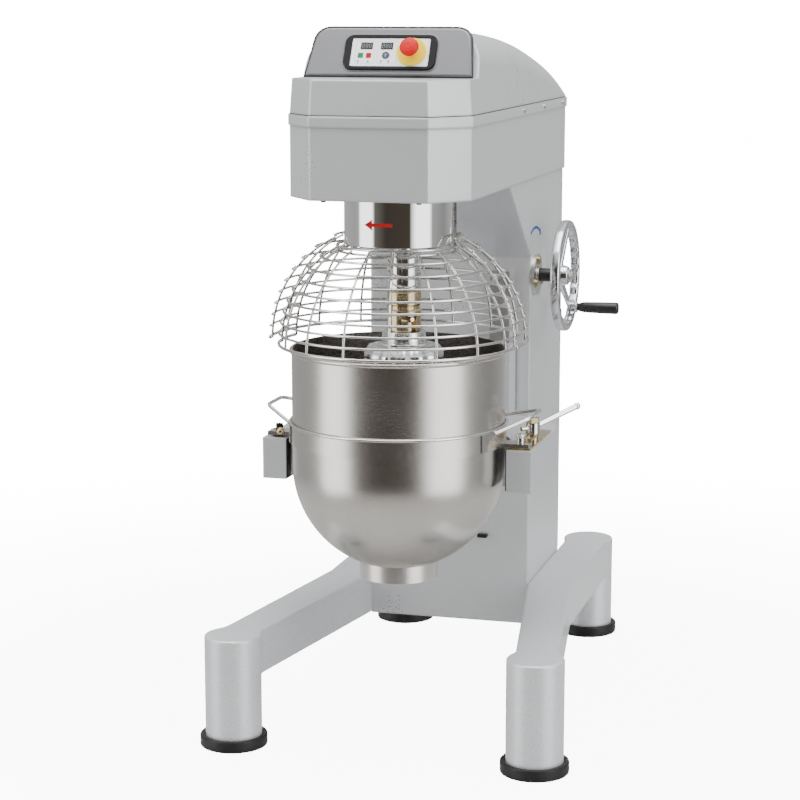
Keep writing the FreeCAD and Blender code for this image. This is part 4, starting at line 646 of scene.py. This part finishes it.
def weld_tree(material):
    """Geometry tree: a weld bead at each crossing of a guard's hoops and uprights."""
    tree = bpy.data.node_groups.new("guard_welds", "GeometryNodeTree")
    tree.interface.new_socket("Geometry", in_out="OUTPUT", socket_type="NodeSocketGeometry")
    sizes = ["Top height", "Low height", "Bow", "Bow centre", "First angle", "Span", "Bead", "Centre Y"]
    for label in ("Hoops", "Uprights"):
        tree.interface.new_socket(label, in_out="INPUT", socket_type="NodeSocketInt")
    for label in sizes:
        tree.interface.new_socket(label, in_out="INPUT", socket_type="NodeSocketFloat")
    given = tree.nodes.new("NodeGroupInput")
    graph = Graph(tree)
    size = {label: Link(given.outputs[label]) for label in ["Hoops", "Uprights"] + sizes}
    grid = graph.node("GeometryNodeMeshGrid", {}, {"Vertices X": size["Hoops"],
                                                   "Vertices Y": size["Uprights"]})
    index = graph.node("GeometryNodeInputIndex")
    hoop = index.math("FLOOR", index / size["Uprights"])
    upright = index - hoop * size["Uprights"]
    height = size["Top height"] + (size["Low height"] - size["Top height"]) * hoop / (size["Hoops"] - 1)
    rise = height - size["Low height"]
    radius = size["Bow centre"] + (size["Bow"] ** 2.0 - rise ** 2.0) ** 0.5 - size["Bead"] * 0.9
    angle = size["First angle"] + size["Span"] * upright / (size["Uprights"] - 1)
    spot = graph.node("ShaderNodeCombineXYZ", {}, {"X": radius * angle.math("COSINE", angle),
                                                   "Y": radius * angle.math("SINE", angle) + size["Centre Y"],
                                                   "Z": height})
    placed = graph.node("GeometryNodeSetPosition", {}, {"Geometry": grid, "Position": spot})
    bead = graph.node("GeometryNodeMeshIcoSphere", {}, {"Radius": size["Bead"], "Subdivisions": 2})
    beads = graph.node("GeometryNodeInstanceOnPoints", {}, {"Points": placed, "Instance": bead})
    whole = graph.node("GeometryNodeRealizeInstances", {}, {"Geometry": beads})
    smooth = graph.node("GeometryNodeSetShadeSmooth", {}, {"Geometry": whole})
    return finished_tree(tree, graph, smooth, material)


welds = weld_tree(wire_chrome)
guard_sizes = {"front": (0.127, 1.060, 0.248, 0.856, -90.0), "rear": (0.132, 1.079, 0.268, 0.865, 90.0)}
guard_span = 202.5
hoop_steps, end_ball = 96, 0.0036
for half, (top_r, top_z, low_r, low_z, middle) in guard_sizes.items():
    out, down = low_r - top_r, top_z - low_z
    bow = (out ** 2 + down ** 2) / (2 * out)
    body = "guard" if half == "front" else "frame"
    first = math.radians(middle - guard_span / 2)
    grown(bpy.data.objects.new(f"{half}_guard_welds", bpy.data.meshes.new("welds")), welds,
          {"Hoops": 10, "Uprights": 10, "Top height": top_z, "Low height": low_z, "Bow": bow,
           "Bow centre": low_r - bow, "First angle": first, "Span": math.radians(guard_span), "Bead": 0.0032,
           "Centre Y": bowl_y}, wire_chrome, body)
    hoop_path = []
    for k in range(hoop_steps + 1):
        a = first + math.radians(guard_span) * k / hoop_steps
        hoop_path.append((low_r * math.cos(a), bowl_y + low_r * math.sin(a), low_z))
    ball = softened(rectangle(0, end_ball, -end_ball, end_ball), end_ball, 4, closed=False)
    ends = [spun(ball, Matrix.Translation(hoop_path[k]), 16) for k in (0, -1)]
    piece(f"{half}_guard_low_hoop", *several([swept(hoop_path, 0.0034)] + ends), wire_chrome, body,
          "bright_wire")

brushed_bracket = polished("bracket_steel", (0.55, 0.54, 0.52), (0.72, 0.71, 0.69), 0.2, (1.0, 1.0, 6.0))
paint_node(brushed_bracket, "guard_brackets")


# ---- Bowl -------------------------------------------------------------------------------------------------
# The bowl is spun from one disc of stainless sheet, and the last polish runs round it, so light smears up
# and down. Its rim is rolled over a wire. A flat band is welded round it with a wire on its upper edge.

def brushed_round(name, dark, light, rough, centre):
    """Stainless steel whose fine scratches run round an upright axis."""
    material, graph, shader, place = bare_finish(name, 1.0, Anisotropic=0.55)
    rel = graph.node("ShaderNodeVectorMath", {"operation": "SUBTRACT"}, {0: place, 1: centre})
    split = graph.node("ShaderNodeSeparateXYZ", {}, {"Vector": rel})
    x, y, z = (Link(split.socket.node.outputs[i]) for i in range(3))
    radius = (x * x + y * y) ** 0.5
    around = graph.node("ShaderNodeCombineXYZ", {}, {"X": radius * 30.0, "Y": x.math("ARCTAN2", y, x) * 0.4,
                                                     "Z": z * 30.0})
    scratches = graph.node("ShaderNodeTexNoise", {},
                           {"Vector": around, "Scale": 45.0, "Detail": 4.0, "Roughness": 0.7})
    cloud = noise(graph, place, 7.0, 3.0)
    tangent = graph.node("ShaderNodeTangent", {"direction_type": "RADIAL", "axis": "Z"})
    graph.tree.links.new(tangent.socket, shader.inputs["Tangent"])
    dress(graph, shader, cloud * 0.6 + scratches * 0.4, dark, light,
          rough + (scratches - 0.5) * 0.16 + (cloud - 0.5) * 0.06, scratches, 0.00002)
    return material


bowl_steel = brushed_round("bowl_steel", (0.50, 0.475, 0.44), (0.72, 0.70, 0.67), 0.24, (bowl_x, bowl_y, 0.6))
paint_node(bowl_steel, "bowl", "bowl_band", "bowl_foot_ring")
band_wire_radius, band_wire_height, band_steps = 0.2262, 0.6915, 120
band_wire_path = []
for k in range(band_steps):
    a = 2 * math.pi * k / band_steps
    band_wire_path.append((band_wire_radius * math.cos(a), bowl_y + band_wire_radius * math.sin(a),
                           band_wire_height))
piece("band_wire", *swept(band_wire_path, 0.0030, closed=True), wire_chrome, "carriage", "bright_wire")
paint_node(wire_chrome, "bowl_handles")


def strap(angle, width, low, high, inner, outer):
    """A short plate bent round the band."""
    steps = 6
    ring = [(inner, low), (outer, low), (outer, high), (inner, high)]
    verts = []
    for k in range(steps + 1):
        a = math.radians(angle - width / 2 + width * k / steps)
        verts += [(r * math.cos(a), bowl_y + r * math.sin(a), z) for r, z in ring]
    return verts, banded(steps + 1, 4) + [[3, 2, 1, 0], [4 * steps + i for i in range(4)]]


piece("band_straps", *several([strap(a, 5, 0.652, 0.690, 0.2258, 0.2285) for a in (-24, 204)]), bowl_steel,
      "carriage", "stainless")


# ---- Bowl carriage ----------------------------------------------------------------------------------------
# The fork that carries the bowl is a painted casting. Black plates on the inner faces of its ends are painted
# shade in the gap beside the bowl. The bowl's lugs sit over a pin on each arm: a black one on the left, held
# by a brass ball.

cast_silver = silver_paint("cast_silver", (0.66, 0.68, 0.70), 0.4, 0.38, 0.003)
paint_node(cast_silver, "bowl_yoke")
fork_gap_half, shade_plate_thickness = 0.2382, 0.0025
# Thin black plates on the inner faces of the fork's ends: painted shade between the fork and the bowl.
shade_plates = []
for side in (-1, 1):
    on_arm = Matrix(((0, 0, side, -side * fork_gap_half), (1, 0, 0, 0), (0, 1, 0, 0), (0, 0, 0, 1)))
    shade_plates.append(extruded(rectangle(-0.3975, -0.372, 0.560, 0.644), 0.0, shade_plate_thickness, on_arm))
rounded_edges(piece("fork_shade_plates", *several(shade_plates), rubber, "carriage", "black_rubber"), 0.0008)

lug_pin_x = 0.262
pin_profile = softened([(0, 0.6460), (0.014, 0.6460), (0.014, 0.6500), (0.008, 0.6500), (0.008, 0.6720),
                        (0, 0.6720)], 0.0012, 3, closed=False)
left_pin = spun(pin_profile, Matrix.Translation((-lug_pin_x, bowl_y, 0)), 32)
piece("left_bowl_pin", *left_pin, bezel_black, "carriage", "zinc")
right_profile = softened([(0, 0.6500), (0.008, 0.6500), (0.008, 0.6700), (0.0105, 0.6710), (0.0105, 0.6740),
                          (0, 0.6790)], 0.003, 5, closed=False)
piece("right_bowl_pin", *spun(right_profile, Matrix.Translation((lug_pin_x, bowl_y, 0)), 32), chrome,
      "carriage", "zinc", ["bowl_pins"])
ball_profile = [(0.0088 * math.sin(math.pi * k / 12), -0.0088 * math.cos(math.pi * k / 12))
                for k in range(13)]
gold, graph, shader, place = bare_finish("gold_plate", 1.0)
hue = noise(graph, place, 60.0, 3.0)
dress(graph, shader, hue, (0.36, 0.27, 0.11), (0.74, 0.64, 0.38), 0.16 + hue * 0.2, hue, 0.00004, 0.0008)
piece("left_brass_ball", *spun(ball_profile, Matrix.Translation((-0.2540, bowl_y - 0.018, 0.6585)), 32), gold,
      "carriage", "gold_zinc")
paint_node(gold, "clamp_bracket", "clamp_bolt")
paint_node(chrome, "clamp_lever")


# ---- Hand wheel -------------------------------------------------------------------------------------------
# The wheel is cast aluminium, polished and plated. Its rim is a broad round band with finger hollows inside.
# A black moulded grip turns on a steel spindle, and a black collar spaces the hub from the flange.

wheel_centre = Matrix(((0, 0, 1, 0.256), (1, 0, 0, wheel_y), (0, 1, 0, wheel_z), (0, 0, 0, 1)))
rim_steps, waves = 240, 24
rim_radius, hollow_depth = 0.1160, 0.0016
rim_section = softened(rectangle(-0.0085, 0.0085, -0.0105, 0.0105), 0.0065, 4)
verts = []
for k in range(rim_steps):
    a = 2 * math.pi * k / rim_steps
    hollow = hollow_depth * math.cos(waves * a)
    for out, deep in rim_section:
        r = rim_radius + out + (hollow if out < 0 else 0)
        verts.append(tuple(wheel_centre @ Vector((r * math.cos(a), r * math.sin(a), deep))))
rim = verts, banded(rim_steps, len(rim_section), closed=True)
hub_profile = softened([(0.0112, -0.0300), (0.0220, -0.0300), (0.0240, -0.0060), (0.0200, 0.0080),
                        (0.0112, 0.0080)], 0.003, 4)
wheel_parts = [rim, spun(hub_profile, wheel_centre, 64, closed=True)]
spoke_section = softened(rectangle(-0.0090, 0.0090, -0.0045, 0.0045), 0.004, 4)
spokes, first_spoke, rows = 3, -48.81, 9
for k in range(spokes):
    arm = Matrix.Rotation(math.radians(first_spoke + 360 / spokes * k), 4, "Z")
    verts = []
    for j in range(rows):
        t = j / (rows - 1)
        reach, rise, scale = 0.016 + 0.095 * t, -0.014 + 0.012 * t, 1.15 - 0.3 * t
        verts += [tuple(wheel_centre @ arm @ Vector((reach, across * scale, rise + deep * scale)))
                  for across, deep in spoke_section]
    wheel_parts.append((verts, banded(rows, len(spoke_section))))
boss_profile = softened(rectangle(0.0052, 0.0130, -0.0070, 0.0152), 0.002, 3)
grip_offset = Matrix.Translation((0, 0.070, -0.080))
wheel_parts.append(spun(boss_profile, grip_offset @ wheel_centre, 32, closed=True))
wheel_plate = polished("wheel_plate", (0.50, 0.52, 0.54), (0.80, 0.82, 0.84), 0.10)
piece("plated_wheel", *several(wheel_parts), wheel_plate, "wheel", "alu", ["handwheel"])

grip_profile = softened([(0.0052, 0.0160), (0.0085, 0.0160), (0.0122, 0.0300), (0.0132, 0.0650),
                         (0.0136, 0.1060), (0.0115, 0.1095), (0.0084, 0.1095), (0.0084, 0.0956),
                         (0.0052, 0.0956)], 0.005, 6)
grip_black = moulded("grip_black", (0.006, 0.006, 0.006), (0.018, 0.018, 0.018), 0.30)
piece("contoured_grip", *spun(grip_profile, grip_offset @ wheel_centre, 48, closed=True), grip_black, "grip",
      "black_plastic", ["handwheel_grip"], 60)
collar_profile = softened(rectangle(0.0112, 0.0150, 0.1985, 0.2258), 0.0012, 3)
collar_axis = Matrix(((0, 0, 1, 0), (1, 0, 0, wheel_y), (0, 1, 0, wheel_z), (0, 0, 0, 1)))
piece("black_collar", *spun(collar_profile, collar_axis, 48, closed=True), grip_black, "wheel",
      "black_plastic", ["handwheel_collar"])

# Three hexagon bolts with yellow chromate hold the flange to the column's side.
bolt_circle = 0.033
bolt_profile = [(0, 0.1935), (0.0105, 0.1935), (0.0105, 0.1950), (0.0078, 0.1952), (0.0078, 0.1990),
                (0.0062, 0.1999), (0, 0.1999)]
brassy, graph, shader, place = bare_finish("yellow_chromate", 1.0)
tarnish = noise(graph, place, 120.0, 3.0)
dress(graph, shader, tarnish, (0.30, 0.23, 0.10), (0.62, 0.54, 0.34), 0.2 + tarnish * 0.2, tarnish, 0.00004)
bolts = []
for angle in (90, 210, 330):
    a = math.radians(angle)
    aside = Matrix.Translation((0, bolt_circle * math.cos(a), bolt_circle * math.sin(a)))
    bolts.append(spun(bolt_profile, aside @ collar_axis, 24))
piece("flange_bolt_heads", *several(bolts), brassy, "frame", "zinc", ["flange_bolts"])


# ---- Drive ------------------------------------------------------------------------------------------------
# Under the cover are the cast pulleys, a ribbed belt and a geared motor in grey enamel. The supply cord
# comes in at the back through a black nylon gland.

cast_iron, graph, shader, place = bare_finish("machined_iron", 0.9)
pores = noise(graph, place, 220.0, 4.0)
dress(graph, shader, pores, (0.10, 0.10, 0.11), (0.26, 0.26, 0.27), 0.38 + pores * 0.2, pores, 0.0001)
paint_node(cast_iron, "driven_pulley", "motor_pulley")
paint_node(rubber, "drive_belt")
paint_node(silver_paint("motor_enamel", (0.07, 0.09, 0.11), 0.1, 0.4, 0.0), "motor")
paint_node(grip_black, "cable_gland")


# ---- Studio -----------------------------------------------------------------------------------------------
# A pale floor that fades out round the machine, and soft light from above and from two tall white panels,
# with dark gaps between them for the steel to mirror.

floor_paper, graph, shader, place = bare_finish("floor_paper", 0.0)
fibre = noise(graph, place, 2.0, 2.0)
dress(graph, shader, fibre, (0.86, 0.86, 0.86), (0.88, 0.88, 0.88), 0.85 + fibre * 0.05)
reach = graph.node("ShaderNodeVectorMath", {"operation": "LENGTH"}, {0: place}, 1)
fade = graph.node("ShaderNodeMapRange", {"interpolation_type": "SMOOTHSTEP"},
                  {0: reach, 1: 0.8, 2: 2.6, 3: 0.42, 4: 0.0})
graph.tree.links.new(fade.socket, shader.inputs["Alpha"])
floor_mesh = bpy.data.meshes.new("floor")
floor_half = 2.8
floor_corners = [(x, y, 0) for x, y in rectangle(-floor_half, floor_half, -floor_half, floor_half)]
floor_mesh.from_pydata(floor_corners, [], [(0, 1, 2, 3)])
floor_mesh.materials.append(floor_paper)
floor = bpy.data.objects.new("floor", floor_mesh)
bpy.context.scene.collection.objects.link(floor)


def grey(level, warmth=0.0):
    return (level * (1 + warmth), level, level * (1 - warmth), 1)


world = bpy.data.worlds.new("studio")
bpy.context.scene.world = world
world.use_nodes = True
graph = Graph(world.node_tree)
direction = graph.node("ShaderNodeTexCoord", {}, {}, "Generated")
split = graph.node("ShaderNodeSeparateXYZ", {}, {"Vector": direction})
x, y, z = (Link(split.socket.node.outputs[i]) for i in range(3))
bearing = x.math("ARCTAN2", y, x) / (2 * math.pi) + 0.5
panel_stops = [(0.0, grey(0.45)), (0.035, grey(0.5)), (0.055, grey(3.2)), (0.130, grey(3.2)),
               (0.150, grey(0.16, 0.1)), (0.22, grey(0.05, 0.2)), (0.36, grey(0.06, 0.2)), (0.400, grey(3.2)),
               (0.480, grey(3.2)), (0.505, grey(0.45)), (0.60, grey(0.30)), (0.75, grey(0.6)),
               (0.90, grey(0.5)), (1.0, grey(0.45))]
panels = graph.node("ShaderNodeValToRGB", {"stops": panel_stops}, {0: bearing})
rise = graph.node("ShaderNodeMapRange", {"interpolation_type": "SMOOTHSTEP"}, {0: z, 1: 0.35, 2: 0.75})
light = graph.node("ShaderNodeMix", {"data_type": "RGBA"}, {"Factor": rise, 6: panels, 7: grey(1.3)}, 2)
sink = graph.node("ShaderNodeMapRange", {"interpolation_type": "SMOOTHSTEP"}, {0: z, 1: -0.30, 2: -0.50})
light = graph.node("ShaderNodeMix", {"data_type": "RGBA"}, {"Factor": sink, 6: light, 7: grey(0.22, 0.08)}, 2)
seen = graph.node("ShaderNodeLightPath", {}, {}, "Is Camera Ray")
backdrop = graph.node("ShaderNodeMix", {"data_type": "RGBA"}, {"Factor": seen, 6: light, 7: grey(16.0)}, 2)
background = world.node_tree.nodes["Background"]
world.node_tree.links.new(backdrop.socket, background.inputs["Color"])
background.inputs["Strength"].default_value = 1.0


def soft_panel(name, spot, aim, width, height, power):
    lamp = bpy.data.lights.new(name, "AREA")
    lamp.shape = "RECTANGLE"
    lamp.size = width
    lamp.size_y = height
    lamp.energy = power
    thing = bpy.data.objects.new(name, lamp)
    thing.location = spot
    thing.rotation_euler = (Vector(aim) - Vector(spot)).to_track_quat("-Z", "Y").to_euler()
    bpy.context.scene.collection.objects.link(thing)


soft_panel("key_panel", (-2.6, -3.2, 2.6), (0, -0.2, 0.9), 1.2, 2.6, 40)
soft_panel("side_panel", (3.4, -1.6, 2.2), (0, 0, 0.9), 1.4, 2.6, 40)
soft_panel("top_panel", (0, -0.4, 4.0), (0, 0, 0), 3.0, 3.0, 160)

eye = bpy.data.cameras.new("camera")
eye.lens = 99.23
eye.sensor_width = 36
eye.clip_end = 200
camera = bpy.data.objects.new("camera", eye)
camera.location = (1.21463, -4.73017, 1.55333)
camera.rotation_euler = (math.radians(90 - 10.25), 0, math.radians(15.52))
bpy.context.scene.collection.objects.link(camera)
bpy.context.scene.camera = camera
